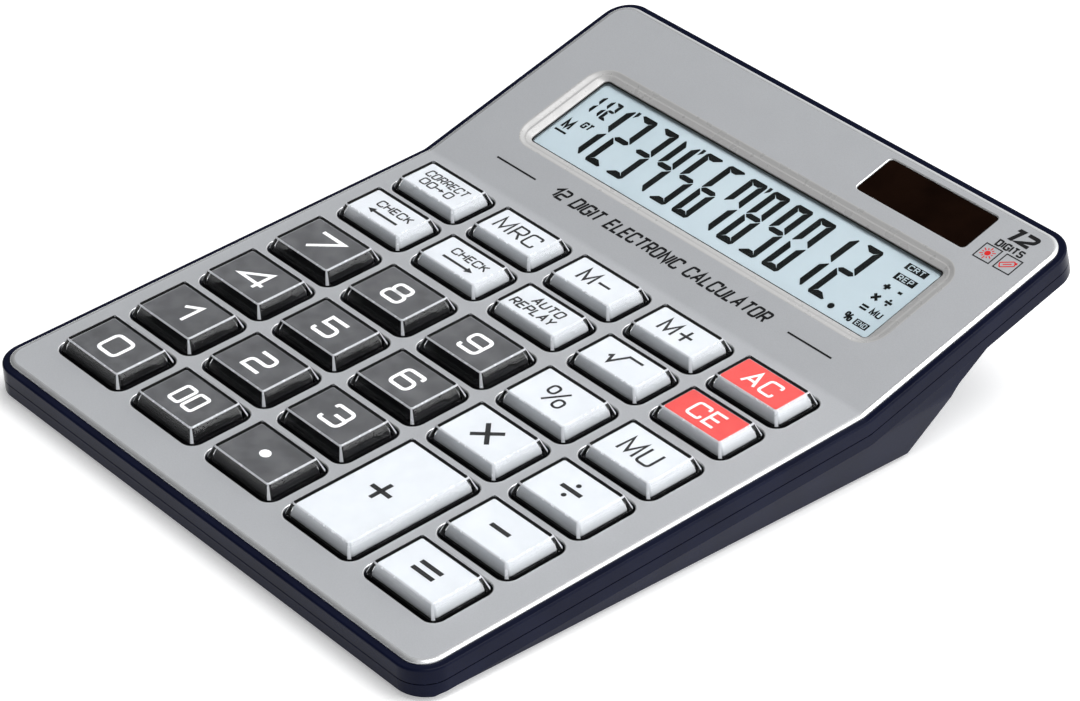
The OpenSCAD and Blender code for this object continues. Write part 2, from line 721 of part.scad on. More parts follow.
key("key_0");  // key_0
key("key_00");  // key_00
key("key_point");  // key_point
key("key_plus");  // key_plus
key("key_equals");  // key_equals
key("key_1");  // key_1
key("key_2");  // key_2
key("key_3");  // key_3
key("key_minus");  // key_minus
key("key_4");  // key_4
key("key_5");  // key_5
key("key_6");  // key_6
key("key_multiply");  // key_multiply
key("key_divide");  // key_divide
key("key_7");  // key_7
key("key_8");  // key_8
key("key_9");  // key_9
key("key_percent");  // key_percent
key("key_markup");  // key_markup
key("key_check_back");  // key_check_back
key("key_check_forward");  // key_check_forward
key("key_auto_replay");  // key_auto_replay
key("key_square_root");  // key_square_root
key("key_clear_entry");  // key_clear_entry
key("key_correct");  // key_correct
key("key_memory_recall");  // key_memory_recall
key("key_memory_minus");  // key_memory_minus
key("key_memory_plus");  // key_memory_plus
key("key_all_clear");  // key_all_clear
faceplate();
top_case();
bottom_case();
display_window();
lcd_cell();
lcd_reflector();
lcd_holder();
lcd_ribbon();
solar_window();
solar_cell();
solar_leads();
dome_mat();
main_board();
chip_blob();
board_components();
battery_cell();
battery_spring();
battery_plate();
battery_leads();
battery_door();
rubber_feet();
case_screws();
board_screws();
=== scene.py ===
"""The looks of the desktop calculator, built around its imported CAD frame.

Shapes are made in millimetres in one of two flat layouts, and then placed in the
row frame: by DECK for the key deck, by DISPLAY for the panel behind the bend. In both,
x runs across, y back from the bend, and z up from the faceplate's top face.
unrolled() takes points of a sheet that lies over both, and bends it.
"""

import json
import math

import bmesh
import bpy
from mathutils import Matrix, Vector


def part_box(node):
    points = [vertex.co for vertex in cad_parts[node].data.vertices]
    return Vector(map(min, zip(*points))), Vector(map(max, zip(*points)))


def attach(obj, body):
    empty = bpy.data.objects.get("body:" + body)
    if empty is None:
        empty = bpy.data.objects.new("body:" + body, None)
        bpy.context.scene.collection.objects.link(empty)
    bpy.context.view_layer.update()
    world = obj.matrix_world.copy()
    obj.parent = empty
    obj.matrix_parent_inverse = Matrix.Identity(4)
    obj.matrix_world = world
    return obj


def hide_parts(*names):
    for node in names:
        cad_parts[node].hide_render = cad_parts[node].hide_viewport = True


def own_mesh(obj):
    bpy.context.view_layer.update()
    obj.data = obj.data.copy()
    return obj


MM = 0.001

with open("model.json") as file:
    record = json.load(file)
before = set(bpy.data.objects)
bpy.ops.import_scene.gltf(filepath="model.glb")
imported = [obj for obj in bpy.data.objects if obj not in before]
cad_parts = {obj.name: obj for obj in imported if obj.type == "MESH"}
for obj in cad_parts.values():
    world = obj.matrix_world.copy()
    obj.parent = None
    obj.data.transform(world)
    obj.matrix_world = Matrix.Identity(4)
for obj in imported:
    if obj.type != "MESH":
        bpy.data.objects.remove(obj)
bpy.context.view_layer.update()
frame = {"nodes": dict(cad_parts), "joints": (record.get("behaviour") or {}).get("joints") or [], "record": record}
NODES = frame["nodes"]
JOINTS = {j["name"]: j for j in frame["joints"]}
BODIES = frame["record"]["behaviour"]["bodies"]
BODY_OF = {node: body for body, nodes in BODIES.items() for node in nodes}


# ---- Places, worked out from the frame ----

def points_of(node):
    return [v.co.copy() for v in NODES[node].data.vertices]


def normal_of(node):
    """The direction that a flat node's largest face looks in, upwards."""
    face = max(NODES[node].data.polygons, key=lambda p: p.area)
    return face.normal.copy() if face.normal.z > 0 else -face.normal


def find_bend(front_point, deck_up, back_point, display_up):
    """Where the planes of the deck and of the display cross, at x = 0."""
    rows = Matrix(((deck_up.y, deck_up.z), (display_up.y, display_up.z)))
    y, z = rows.inverted() @ Vector((front_point.dot(deck_up), back_point.dot(display_up)))
    return Vector((0, y, z))


def local_frame(origin, up):
    """Matrix from millimetres in a flat layout to metres in the row frame."""
    turn = Matrix(((1, 0, 0), (0, up.z, up.y), (0, -up.y, up.z))).to_4x4()
    return Matrix.Translation(origin) @ turn @ Matrix.Scale(MM, 4)


PLATE = points_of("faceplate")
DECK_UP = -Vector(JOINTS["key_0_press"]["axis"])
DISPLAY_UP = normal_of("display_window")
BEND = find_bend(min(PLATE, key=lambda p: p.y), DECK_UP, max(PLATE, key=lambda p: p.z), DISPLAY_UP)
DECK = local_frame(BEND, DECK_UP)
DISPLAY = local_frame(BEND, DISPLAY_UP)
BEND_ANGLE = math.asin(-DISPLAY_UP.y) - math.asin(-DECK_UP.y)
BEND_R = 6.0
BEND_HALF = BEND_R * math.tan(BEND_ANGLE / 2)


def local_box(node, place):
    """(lowest, highest) corner of a node in a flat layout, in millimetres."""
    back = place.inverted()
    found = [back @ p for p in points_of(node)]
    return [Vector(f(p[i] for p in found) for i in range(3)) for f in (min, max)]


def middle(box):
    return (box[0] + box[1]) / 2


def unrolled(p):
    """A point of the flat sheet, bent at the bend, in metres in the row frame."""
    x, y, z = p
    if y <= -BEND_HALF:
        return DECK @ Vector(p)
    if y >= BEND_HALF:
        return DISPLAY @ Vector(p)
    turned = BEND_ANGLE * (y + BEND_HALF) / (2 * BEND_HALF)
    reach = BEND_R - z
    return DECK @ Vector((x, -BEND_HALF + reach * math.sin(turned), BEND_R - reach * math.cos(turned)))


# ---- Sizes, in millimetres ----

PLATE_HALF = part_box("faceplate")[1].x / MM
PLATE_FRONT = local_box("faceplate", DECK)[0].y
PLATE_BACK = local_box("faceplate", DISPLAY)[1].y
PLATE_T = 0.7
PLATE_R = 5.5
CASE_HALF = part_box("top_case")[1].x / MM
RIM = CASE_HALF - PLATE_HALF
CASE_R = PLATE_R + RIM
PANEL_T = 1.6
PARTING = -4.5
HOLE_R = 3.1
FLANGE_OUT = 0.5
KEY_GAP = 0.8
KEY_DRAFT = (1.7, 1.35)

LENS = local_box("display_window", DISPLAY)
LCD_MID = middle(LENS)
LENS_GAP = 0.1
RECESS = (LENS[1].x - LENS[0].x + 2 * LENS_GAP, LENS[1].y - LENS[0].y + 2 * LENS_GAP)
BEVEL = (3.7, 2.7)
WINDOW = (RECESS[0] - 2 * BEVEL[0], RECESS[1] - 2 * BEVEL[1])
WINDOW_R = 1.4
RECESS_DEPTH = 1.1
RECESS_R = 6.0
LIP_BOTTOM = LENS[1].z + 0.05
SOLAR = local_box("solar_window", DISPLAY)
SOLAR_MID = middle(SOLAR)
SOLAR_LEDGE = (1.0, 0.5)
SOLAR_SIZE = (SOLAR[1].x - SOLAR[0].x - 2 * SOLAR_LEDGE[0], SOLAR[1].y - SOLAR[0].y - 2 * SOLAR_LEDGE[1])
SOLAR_R = 1.1


# ---- Materials ----

class Shader:
    """One node-based material: a Principled shader and helpers that add to it."""

    def __init__(self, name, color, roughness, **sockets):
        self.material = bpy.data.materials.new(name)
        self.material.use_nodes = True
        self.tree = self.material.node_tree
        self.bsdf = self.tree.nodes["Principled BSDF"]
        self.coordinates = self.add("ShaderNodeTexCoord").outputs["Object"]
        self.set(self.bsdf, "Base Color", (*color, 1))
        self.set(self.bsdf, "Roughness", roughness)
        for socket, value in sockets.items():
            self.set(self.bsdf, socket.replace("_", " "), value)

    def add(self, kind, **settings):
        made = self.tree.nodes.new(kind)
        for name, value in settings.items():
            setattr(made, name, value)
        return made

    def set(self, node, socket, value):
        node.inputs[socket].default_value = value

    def link(self, source, node, socket):
        self.tree.links.new(source, node.inputs[socket])

    def noise(self, size_mm, detail=3.0, stretch=(1, 1, 1)):
        """Noise with features of that size, longer where stretch is below 1."""
        mapping = self.add("ShaderNodeMapping")
        self.link(self.coordinates, mapping, "Vector")
        self.set(mapping, "Scale", stretch)
        texture = self.add("ShaderNodeTexNoise")
        self.link(mapping.outputs["Vector"], texture, "Vector")
        self.set(texture, "Scale", 1 / (size_mm * MM))
        self.set(texture, "Detail", detail)
        return texture.outputs["Fac"]

    def spread(self, source, low, high, span=(0.35, 0.65)):
        """Maps a noise onto values from low to high."""
        mapped = self.add("ShaderNodeMapRange")
        self.link(source, mapped, "Value")
        for socket, value in zip(("From Min", "From Max", "To Min", "To Max"), (*span, low, high)):
            self.set(mapped, socket, value)
        return mapped.outputs["Result"]

    def vary_color(self, source, first, second, span=(0.35, 0.65)):
        ramp = self.add("ShaderNodeValToRGB")
        self.link(source, ramp, "Fac")
        for stop, where, color in zip(ramp.color_ramp.elements, span, (first, second)):
            stop.position = where
            stop.color = (*color, 1)
        self.link(ramp.outputs["Color"], self.bsdf, "Base Color")

    def vary_roughness(self, source, low, high):
        self.link(self.spread(source, low, high), self.bsdf, "Roughness")

    def paint_shade_below(self, top_mm, bottom_mm, darkest):
        """Paints shade into the colour between two heights over the key deck, down to a darkest share."""
        height = self.add("ShaderNodeVectorMath", operation="DOT_PRODUCT")
        self.link(self.coordinates, height, 0)
        self.set(height, 1, DECK_UP)
        level = BEND.dot(DECK_UP)
        span = (level + bottom_mm * MM, level + top_mm * MM)
        shade = self.spread(height.outputs["Value"], darkest, 1, span)
        scaled = self.add("ShaderNodeVectorMath", operation="SCALE")
        self.link(self.bsdf.inputs["Base Color"].links[0].from_socket, scaled, 0)
        self.link(shade, scaled, "Scale")
        self.link(scaled.outputs["Vector"], self.bsdf, "Base Color")

    def bump(self, source, height_mm):
        made = self.add("ShaderNodeBump")
        self.set(made, "Distance", height_mm * MM)
        self.set(made, "Strength", 1)
        self.link(source, made, "Height")
        self.link(made.outputs["Normal"], self.bsdf, "Normal")


def let_lamps_through(shader):
    """Clear pieces cast no dark shadow: a lamp's light passes straight through."""
    path = shader.add("ShaderNodeLightPath")
    clear = shader.add("ShaderNodeBsdfTransparent")
    mix = shader.add("ShaderNodeMixShader")
    shader.link(path.outputs["Is Shadow Ray"], mix, "Fac")
    shader.link(shader.bsdf.outputs["BSDF"], mix, 1)
    shader.link(clear.outputs["BSDF"], mix, 2)
    shader.link(mix.outputs["Shader"], shader.tree.nodes["Material Output"], "Surface")


# Heights over the key deck between which a white key's sides are darkened with painted shade
PAINTED_SHADE_HEIGHTS = (1.9, -0.4)


def finish(name, color, roughness, tint=None, gloss=None, relief=None, shade=1, clear=False, **sockets):
    """A material. Three noises, each given by size and detail, vary it: tint between two colours
    (and over a span), gloss between two roughnesses, relief by a height in mm (and a stretch).
    shade darkens a key's sides with painted shade, and clear lets the lamps' light through."""
    s = Shader(name, color, roughness, **sockets)
    if tint:
        size, detail, *colors = tint
        s.vary_color(s.noise(size, detail), *colors)
    if gloss:
        size, detail, low, high = gloss
        s.vary_roughness(s.noise(size, detail), low, high)
    if relief:
        size, detail, height, *stretch = relief
        s.bump(s.noise(size, detail, *stretch), height)
    if shade < 1:
        s.paint_shade_below(*PAINTED_SHADE_HEIGHTS, shade)
    if clear:
        let_lamps_through(s)
    return s.material


def core_plastic(name, color, lighter, **more):
    """Moulded plastic under a clear cap."""
    return finish(name, color, 0.35, (4, 3, color, lighter), (2, 3, 0.3, 0.42), (0.3, 3, 0.004), **more)


def ink(name, color, roughness=0.45, specular=0.2):
    lighter = [min(1, c * 1.12 + 0.002) for c in color]
    return finish(name, color, roughness, (0.5, 3, color, lighter), relief=(0.15, 3, 0.003),
                  Specular_IOR_Level=specular)


def plated_metal(name, color, roughness=0.28):
    gloss = (1.2, 4, roughness - 0.08, roughness + 0.12)
    return finish(name, color, roughness, gloss=gloss, relief=(0.3, 3, 0.004), Metallic=1.0)


def plain_plastic(name, color, roughness=0.5):
    lighter = [min(1, c * 1.15) for c in color]
    return finish(name, color, roughness, (5, 4, color, lighter), relief=(0.4, 3, 0.01))


def circuit_board():
    """Green solder mask over copper tracks that run along the board."""
    s = Shader("circuit_board", (0.02, 0.11, 0.04), 0.3, Coat_Weight=0.3)
    tracks = s.add("ShaderNodeTexWave", wave_type="BANDS", bands_direction="X")
    s.link(s.coordinates, tracks, "Vector")
    s.set(tracks, "Scale", 90)
    s.set(tracks, "Distortion", 1.5)
    s.vary_color(tracks.outputs["Fac"], (0.015, 0.085, 0.03), (0.05, 0.2, 0.06), (0.45, 0.55))
    s.bump(tracks.outputs["Fac"], 0.02)
    return s.material


# Painted silver sheet: a fine sparkle, and a faint grain across
SILVER = finish("silver_plate", (0.505, 0.515, 0.536), 0.4, Metallic=0.15,
                tint=(0.25, 2, (0.489, 0.5, 0.519), (0.523, 0.535, 0.557)),
                gloss=(6, 4, 0.38, 0.45), relief=(0.16, 4, 0.005, (0.35, 1, 1)))
# The sheet's rolled edges, in a much lighter silver: a painted highlight; and its surround of the display
SILVER_HIGHLIGHT = finish("silver_painted_highlight", (0.86, 0.87, 0.88), 0.2, gloss=(2, 3, 0.17, 0.26), Metallic=0.7)
# The surround's slopes in a lighter copy of the plate's silver: painted light
SILVER_SLOPE_PAINTED_LIGHT = finish("silver_slope_painted_light", (0.57, 0.565, 0.56), 0.3, Metallic=0.16,
                      gloss=(4, 3, 0.25, 0.35), relief=(0.3, 3, 0.003))
NAVY = finish("case_navy", (0.005, 0.007, 0.021), 0.18, Specular_IOR_Level=0.07,
              tint=(9, 4, (0.0045, 0.006, 0.019), (0.006, 0.008, 0.024)),
              gloss=(3, 4, 0.14, 0.2), relief=(0.35, 2, 0.005))
NAVY_INSIDE = finish("case_inside", (0.02, 0.021, 0.035), 0.5, gloss=(4, 3, 0.45, 0.6), relief=(0.5, 3, 0.02))
# Clear moulded acrylic, with a very slight polish ripple
ACRYLIC = finish("clear_acrylic", (0.99, 0.995, 1.0), 0.01, Transmission_Weight=1.0, IOR=1.25,
                 gloss=(3, 3, 0.0, 0.02), relief=(5, 1, 0.003), clear=True)
# The caps' moulded edges, whitish and part opaque: painted highlights as fine white lines
ACRYLIC_HIGHLIGHT = finish("acrylic_painted_highlight", (0.86, 0.88, 0.92), 0.22, Transmission_Weight=0.3, IOR=1.49,
                      gloss=(1.5, 3, 0.16, 0.3))
CORE_DARK = core_plastic("core_dark", (0.06, 0.061, 0.065), (0.098, 0.099, 0.104))
# Near-black for the lower sides of the keys and the gap round them: painted shade
PAINTED_SHADE_BLACK = core_plastic("painted_shade_black", (0.0025, 0.0025, 0.003), (0.004, 0.004, 0.005),
                          Specular_IOR_Level=0.12)
# White cores, whose sides get painted shade, darker towards the bottom
CORE_WHITE = core_plastic("core_white", (0.635, 0.66, 0.69), (0.665, 0.69, 0.72), shade=0.42)
LABEL_RED = core_plastic("label_red", (0.67, 0.055, 0.05), (0.73, 0.068, 0.06))
INK_WHITE = ink("ink_white", (0.92, 0.92, 0.92))
INK_BLACK = ink("ink_black", (0.008, 0.008, 0.009))
INK_RED = ink("ink_red", (0.7, 0.02, 0.02))
INK_LCD = ink("lcd_segment", (0.003, 0.004, 0.004), 0.6, 0.08)
WINDOW_GLASS = finish("window_glass", (0.98, 0.995, 1.0), 0.01, Transmission_Weight=1.0, IOR=1.12,
                      gloss=(4, 3, 0.0, 0.015), clear=True)
# Satin polariser over the pearl film: cool grey, a little mottled
LCD_FACE = finish("lcd_face", (0.42, 0.49, 0.53), 0.42, Specular_IOR_Level=0.25,
                  tint=(40, 2, (0.39, 0.465, 0.505), (0.46, 0.53, 0.57), (0.3, 0.7)),
                  gloss=(0.4, 3, 0.38, 0.48), relief=(0.12, 2, 0.002))
# Amorphous silicon, dark red-brown, and the all but black cover over it
SOLAR_FACE = finish("solar_face", (0.012, 0.004, 0.003), 0.12, Specular_IOR_Level=0.1,
                    tint=(12, 3, (0.01, 0.003, 0.002), (0.02, 0.007, 0.004)), gloss=(2, 3, 0.08, 0.16))
SOLAR_COVER = finish("solar_cover", (0.006, 0.0022, 0.001), 0.03, Specular_IOR_Level=0.03,
                     tint=(8, 3, (0.005, 0.0018, 0.0008), (0.009, 0.0035, 0.0018)), gloss=(5, 2, 0.01, 0.05))
RUBBER = finish("foot_rubber", (0.02, 0.02, 0.022), 0.75,
                tint=(2, 4, (0.016, 0.016, 0.018), (0.032, 0.032, 0.034)), relief=(0.3, 4, 0.03))
CELL_JACKET = finish("battery_jacket", (0.03, 0.12, 0.3), 0.25, Metallic=0.3,
                     tint=(3, 3, (0.028, 0.11, 0.28), (0.035, 0.14, 0.34)), gloss=(2, 3, 0.2, 0.32))
PALE_FLOOR = finish("pale_floor", (0.95, 0.95, 0.95), 0.9, Emission_Color=(1, 1, 1, 1),
                    Emission_Strength=0.34)


# ---- Mesh helpers ----

def mesh_from(bm, name):
    mesh = bpy.data.meshes.new(name)
    bm.to_mesh(mesh)
    bm.free()
    return mesh


def add_object(name, data):
    made = bpy.data.objects.new(name, data)
    bpy.context.scene.collection.objects.link(made)
    return made


def finish_piece(bm, name, materials, body, replaces=(), place=None, sharp=32, weld=1e-5):
    """Turns a mesh into a named piece that rides on its body. place is a matrix or a function."""
    bmesh.ops.remove_doubles(bm, verts=bm.verts, dist=weld)
    bmesh.ops.recalc_face_normals(bm, faces=bm.faces)
    if callable(place):
        for v in bm.verts:
            v.co = place(v.co)
    elif place:
        bm.transform(place)
    mesh = mesh_from(bm, name)
    piece = add_object(name, mesh)
    for m in materials if isinstance(materials, list) else [materials]:
        mesh.materials.append(m)
    mesh.shade_smooth()
    mesh.set_sharp_from_angle(angle=math.radians(sharp))
    weighted = piece.modifiers.new("weighted normals", "WEIGHTED_NORMAL")
    weighted.keep_sharp = True
    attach(piece, body)
    if replaces:
        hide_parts(*replaces)
    return piece


def rounded_rect(half_w, half_d, r, steps=6):
    """Outline points with their outward directions, anticlockwise, centred."""
    found = []
    for k, (sx, sy) in enumerate(((1, 1), (-1, 1), (-1, -1), (1, -1))):
        for i in range(steps + 1):
            a = math.radians(90 * k + 90 * i / steps)
            out = Vector((math.cos(a), math.sin(a)))
            at = Vector((sx * (half_w - r), sy * (half_d - r))) + out * r
            found.append((at, out))
    return found


def rect_at(mid, size, r, steps=6, spare=(0, 0)):
    """A rounded rectangle's outline round that middle, wider by spare on each side in x and y."""
    corners = rounded_rect(size[0] / 2 + spare[0], size[1] / 2 + spare[1], r, steps)
    return [(p + mid.xy, n) for p, n in corners]


def ring(bm, outline, offset, z):
    return [bm.verts.new((p.x + offset * n.x, p.y + offset * n.y, z)) for p, n in outline]


def plain_ring(bm, points, z):
    return [bm.verts.new((p.x, p.y, z)) for p in points]


def bridge(bm, first, second, material=0):
    """Quads between two rings with the same number of points."""
    count = len(first)
    for i in range(count):
        j = (i + 1) % count
        face = bm.faces.new((first[i], first[j], second[j], second[i]))
        face.material_index = material


def arc_profile(r, top, steps=4):
    """(offset, z) points that round an edge from the top face down to the side."""
    turns = [math.radians(90 * i / steps) for i in range(steps + 1)]
    return [(-r + r * math.sin(a), top - r + r * math.cos(a)) for a in turns]


def sweep(bm, outline, profile, material=0, closed=False, edge_material=None, edge_rows=()):
    """Rings of an edge profile along an outline; returns the first and last ring."""
    rings = [ring(bm, outline, o, z) for o, z in profile]
    pairs = list(zip(rings, rings[1:])) + ([(rings[-1], rings[0])] if closed else [])
    for i, (a, b) in enumerate(pairs):
        bridge(bm, a, b, edge_material if edge_material is not None and i in edge_rows else material)
    return rings[0], rings[-1]


def fill(bm, loops):
    """Fills a flat face between an outer loop and the loops of its holes."""
    edges = []
    for loop in loops:
        for i, v in enumerate(loop):
            w = loop[(i + 1) % len(loop)]
            edges.append(bm.edges.get((v, w)) or bm.edges.new((v, w)))
    bmesh.ops.triangle_fill(bm, use_beauty=True, edges=edges)


def cut_at_bend(bm, steps=6):
    """Splits the faces of a flat sheet along the lines where it will bend."""
    for i in range(steps + 1):
        y = -BEND_HALF + 2 * BEND_HALF * i / steps
        geometry = bm.verts[:] + bm.edges[:] + bm.faces[:]
        bmesh.ops.bisect_plane(bm, geom=geometry, dist=1e-6, plane_co=(0, y, 0), plane_no=(0, 1, 0))


def loft(bm, sections, capped=True):
    """Rounded rectangles (half width, half depth, corner radius, z), joined in turn."""
    rings = [ring(bm, rounded_rect(w, d, r), 0, z) for w, d, r, z in sections]
    for a, b in zip(rings, rings[1:]):
        bridge(bm, a, b)
    if capped:
        bm.faces.new(rings[0])
        bm.faces.new(rings[-1])
    return rings


def close_skins(bm, outer, inner, material=0):
    """Closes two skins at the top, and joins them round the bottom."""
    bm.faces.new(outer[-1])
    bm.faces.new(inner[-1])
    bridge(bm, inner[0], outer[0], material)


# ---- Lettering: strokes with a width, laid on a surface ----

GLYPHS = {
    "0": (0.98, [[(0, 0), (0.98, 0), (0.98, 1), (0, 1), (0, 0)]]),
    "1": (0.55, [[(0, 0.64), (0.55, 1, 0), (0.55, 0)]]),
    "2": (0.95, [[(0, 1), (0.95, 1), (0.95, 0.5), (0, 0.5), (0, 0, 0), (0.95, 0)]]),
    "3": (0.95, [[(0, 0.82), (0, 1, 0.1), (0.95, 1), (0.95, 0.5, 0.12), (0.36, 0.5)],
                 [(0.9, 0.5), (0.98, 0.5, 0.12), (0.98, 0), (0, 0, 0.2), (0, 0.2)]]),
    "4": (1.36, [[(1.08, 0), (1.08, 1, 0), (0, 0.27, 0), (1.36, 0.27)]]),
    "5": (0.95, [[(0.95, 1), (0.04, 1, 0), (0.04, 0.56, 0), (0.95, 0.56), (0.95, 0), (0, 0), (0, 0.2)]]),
    "6": (0.95, [[(0.93, 0.8), (0.93, 1), (0, 1), (0, 0), (0.95, 0), (0.95, 0.55), (0.02, 0.55)]]),
    "7": (1.2, [[(0, 1), (1.2, 1, 0), (0.2, 0)]]),
    "8": (0.98, [[(0, 0), (0.98, 0), (0.98, 0.52), (0, 0.52), (0, 0)],
                 [(0.08, 0.52), (0.9, 0.52), (0.9, 1), (0.08, 1), (0.08, 0.52)]]),
    "9": (0.95, [[(0.02, 0.2), (0.02, 0), (0.95, 0), (0.95, 1), (0, 1), (0, 0.45), (0.93, 0.45)]]),
    "A": (0.86, [[(0, 0), (0.43, 1, 0), (0.86, 0)], [(0.15, 0.32), (0.71, 0.32)]]),
    "C": (0.85, [[(0.85, 0.76), (0.85, 1), (0, 1), (0, 0), (0.85, 0), (0.85, 0.24)]]),
    "D": (0.85, [[(0, 0, 0), (0, 1, 0), (0.85, 1), (0.85, 0), (0, 0, 0)]]),
    "E": (0.75, [[(0.75, 1), (0, 1, 0), (0, 0, 0), (0.75, 0)], [(0, 0.5), (0.68, 0.5)]]),
    "G": (0.85, [[(0.85, 0.78), (0.85, 1), (0, 1), (0, 0), (0.85, 0), (0.85, 0.46, 0), (0.48, 0.46)]]),
    "H": (0.8, [[(0, 0), (0, 1)], [(0.8, 0), (0.8, 1)], [(0, 0.5), (0.8, 0.5)]]),
    "I": (0.0, [[(0, 0), (0, 1)]]),
    "K": (0.78, [[(0, 0), (0, 1)], [(0.75, 1), (0, 0.42)], [(0.26, 0.6), (0.78, 0)]]),
    "L": (0.68, [[(0, 1), (0, 0, 0), (0.68, 0)]]),
    "M": (1.05, [[(0, 0), (0.06, 1, 0), (0.53, 0.12, 0), (1.0, 1, 0), (1.05, 0)]]),
    "N": (0.8, [[(0, 0), (0, 1, 0), (0.8, 0, 0), (0.8, 1)]]),
    "O": (0.85, [[(0, 0), (0.85, 0), (0.85, 1), (0, 1), (0, 0)]]),
    "P": (0.78, [[(0, 0), (0, 1, 0), (0.78, 1), (0.78, 0.44), (0, 0.44)]]),
    "R": (0.8, [[(0, 0), (0, 1, 0), (0.8, 1), (0.8, 0.46), (0, 0.46)], [(0.42, 0.46), (0.8, 0)]]),
    "S": (0.8, [[(0.8, 0.82), (0.8, 1), (0, 1), (0, 0.52), (0.8, 0.52), (0.8, 0), (0, 0), (0, 0.18)]]),
    "T": (0.84, [[(0, 1), (0.84, 1)], [(0.42, 1), (0.42, 0)]]),
    "U": (0.85, [[(0, 1), (0, 0), (0.85, 0), (0.85, 1)]]),
    "Y": (0.84, [[(0, 1), (0.42, 0.45, 0), (0.84, 1)], [(0.42, 0.45), (0.42, 0)]]),
    "+": (0.95, [[(0, 0.5), (0.95, 0.5)], [(0.475, 0.02), (0.475, 0.98)]]),
    "-": (0.95, [[(0, 0.5), (0.95, 0.5)]]),
    "=": (0.95, [[(0, 0.68), (0.95, 0.68)], [(0, 0.3), (0.95, 0.3)]]),
    "x": (0.95, [[(0.05, 0.06), (0.9, 0.94)], [(0.05, 0.94), (0.9, 0.06)]]),
    "%": (1.25, [[(0, 0.5), (0.42, 0.5), (0.42, 1), (0, 1), (0, 0.5)], [(0.28, 0), (0.97, 1)],
                 [(0.83, 0), (1.25, 0), (1.25, 0.5), (0.83, 0.5), (0.83, 0)]]),
    " ": (0.45, []),
}
# Shares of a letter's size: its corners' radius, and the gap between letters
CORNER_R = 0.24
LETTER_GAP = 0.34


def rounded_path(points, r):
    """A run of points with its inner corners rounded; each point may give its own radius."""
    flat = [Vector(p[:2]) for p in points]
    radii = [p[2] if len(p) > 2 else r for p in points]
    closed = (flat[0] - flat[-1]).length < 1e-6
    if closed:
        flat, radii = flat[:-1], radii[:-1]
    path = []
    count = len(flat)
    for i, here in enumerate(flat):
        if not closed and i in (0, count - 1):
            path.append(here)
            continue
        before, after = flat[i - 1] - here, flat[(i + 1) % count] - here
        to_before, to_after = before.normalized(), after.normalized()
        half = to_before.angle(to_after) / 2
        reach = min(radii[i] / max(math.tan(half), 1e-3), 0.499 * before.length, 0.499 * after.length)
        if reach < 1e-4:
            path.append(here)
            continue
        start, end = here + to_before * reach, here + to_after * reach
        for k in range(7):
            t = k / 6
            path.append((1 - t) ** 2 * start + 2 * t * (1 - t) * here + t * t * end)
    return path, closed


def add_stroke(bm, path, closed, width, span):
    """A flat ribbon with mitred corners and some thickness."""
    count = len(path)
    sides = []
    for i, here in enumerate(path):
        before = path[i - 1] if closed or i else None
        after = path[(i + 1) % count] if closed or i < count - 1 else None
        a = (here - before).normalized() if before is not None else (after - here).normalized()
        b = (after - here).normalized() if after is not None else a
        along = (a + b).normalized()
        across = Vector((-along.y, along.x))
        stretch = 1 / max(across.dot(Vector((-a.y, a.x))), 0.35)
        out = across * width / 2 * stretch
        sides.append((here + out, here - out))
    low, high = [[[bm.verts.new((p.x, p.y, z)) for p in pair] for pair in sides] for z in span]
    for i in range(count if closed else count - 1):
        j = (i + 1) % count
        bm.faces.new((high[i][0], high[i][1], high[j][1], high[j][0]))
        bm.faces.new((low[i][0], low[j][0], low[j][1], low[i][1]))
        for s in (0, 1):
            bm.faces.new((low[i][s], low[j][s], high[j][s], high[i][s]))
    if not closed:
        for i in (0, count - 1):
            bm.faces.new((low[i][0], low[i][1], high[i][1], high[i][0]))


def add_path(bm, points, r, width, span):
    """A ribbon along those points, with its corners rounded."""
    path, closed = rounded_path(points, r)
    add_stroke(bm, path, closed, width, span)


def add_line(bm, start, end, width, span):
    add_stroke(bm, [Vector(start), Vector(end)], False, width, span)


def add_polygon(bm, points, span):
    """A flat prism with that outline."""
    low, high = [[bm.verts.new((x, y, z)) for x, y in points] for z in span]
    bm.faces.new(low[::-1])
    bm.faces.new(high)
    bridge(bm, low, high)


def add_disc(bm, x, y, rx, ry, span, count=24):
    turns = [2 * math.pi * i / count for i in range(count)]
    add_polygon(bm, [(x + rx * math.cos(a), y + ry * math.sin(a)) for a in turns], span)


def add_text(bm, text, x, y, size, width, span, spacing=None, slant=0.0):
    """Lettering with its middle at x, y. size is the width and height of a full letter."""
    spacing = LETTER_GAP * size[0] if spacing is None else spacing
    total = sum(GLYPHS[c][0] for c in text) * size[0] + spacing * (len(text) - 1)
    left = x - total / 2
    for c in text:
        glyph_w, strokes = GLYPHS[c]
        for stroke in strokes:
            points = [(left + p[0] * size[0] + slant * (p[1] - 0.5) * size[1], y + (p[1] - 0.5) * size[1],
                       *[r * size[1] for r in p[2:]]) for p in stroke]
            add_path(bm, points, CORNER_R * min(size), width, span)
        left += glyph_w * size[0] + spacing


# ---- Keys ----

CAP_T = 1.0
CAP_TOP_T = 0.8
CAP_FOOT = -1.6
CORE_SINK = 0.08
CORE_GAP = 0.05
CORE_WALL = 1.2
FLANGE_T = 1.0
STEM_R = 2.8
LEGEND_T = 0.04
PRINT_GAP = 0.002
LABEL_T = 0.05
BASE_R = 1.6
TOP_R = 0.7
EDGE_R = 0.25
SKIRT_Z = -0.3
DIGIT = (5.9, 5.9)
DIGIT_STROKE = 0.92


def key_places():
    """Middle, opening and height of every key, from its flange."""
    found = {}
    for body in BODIES:
        if not body.startswith("key_"):
            continue
        low, high = local_box(body, DECK)
        mid = middle((low, high))
        mid.z = 0
        hole = (high.x - low.x - 2 * FLANGE_OUT, high.y - low.y - 2 * FLANGE_OUT)
        found[body] = {"mid": mid, "rise": high.z, "flange": low.z, "hole": hole}
    return found


KEYS = key_places()


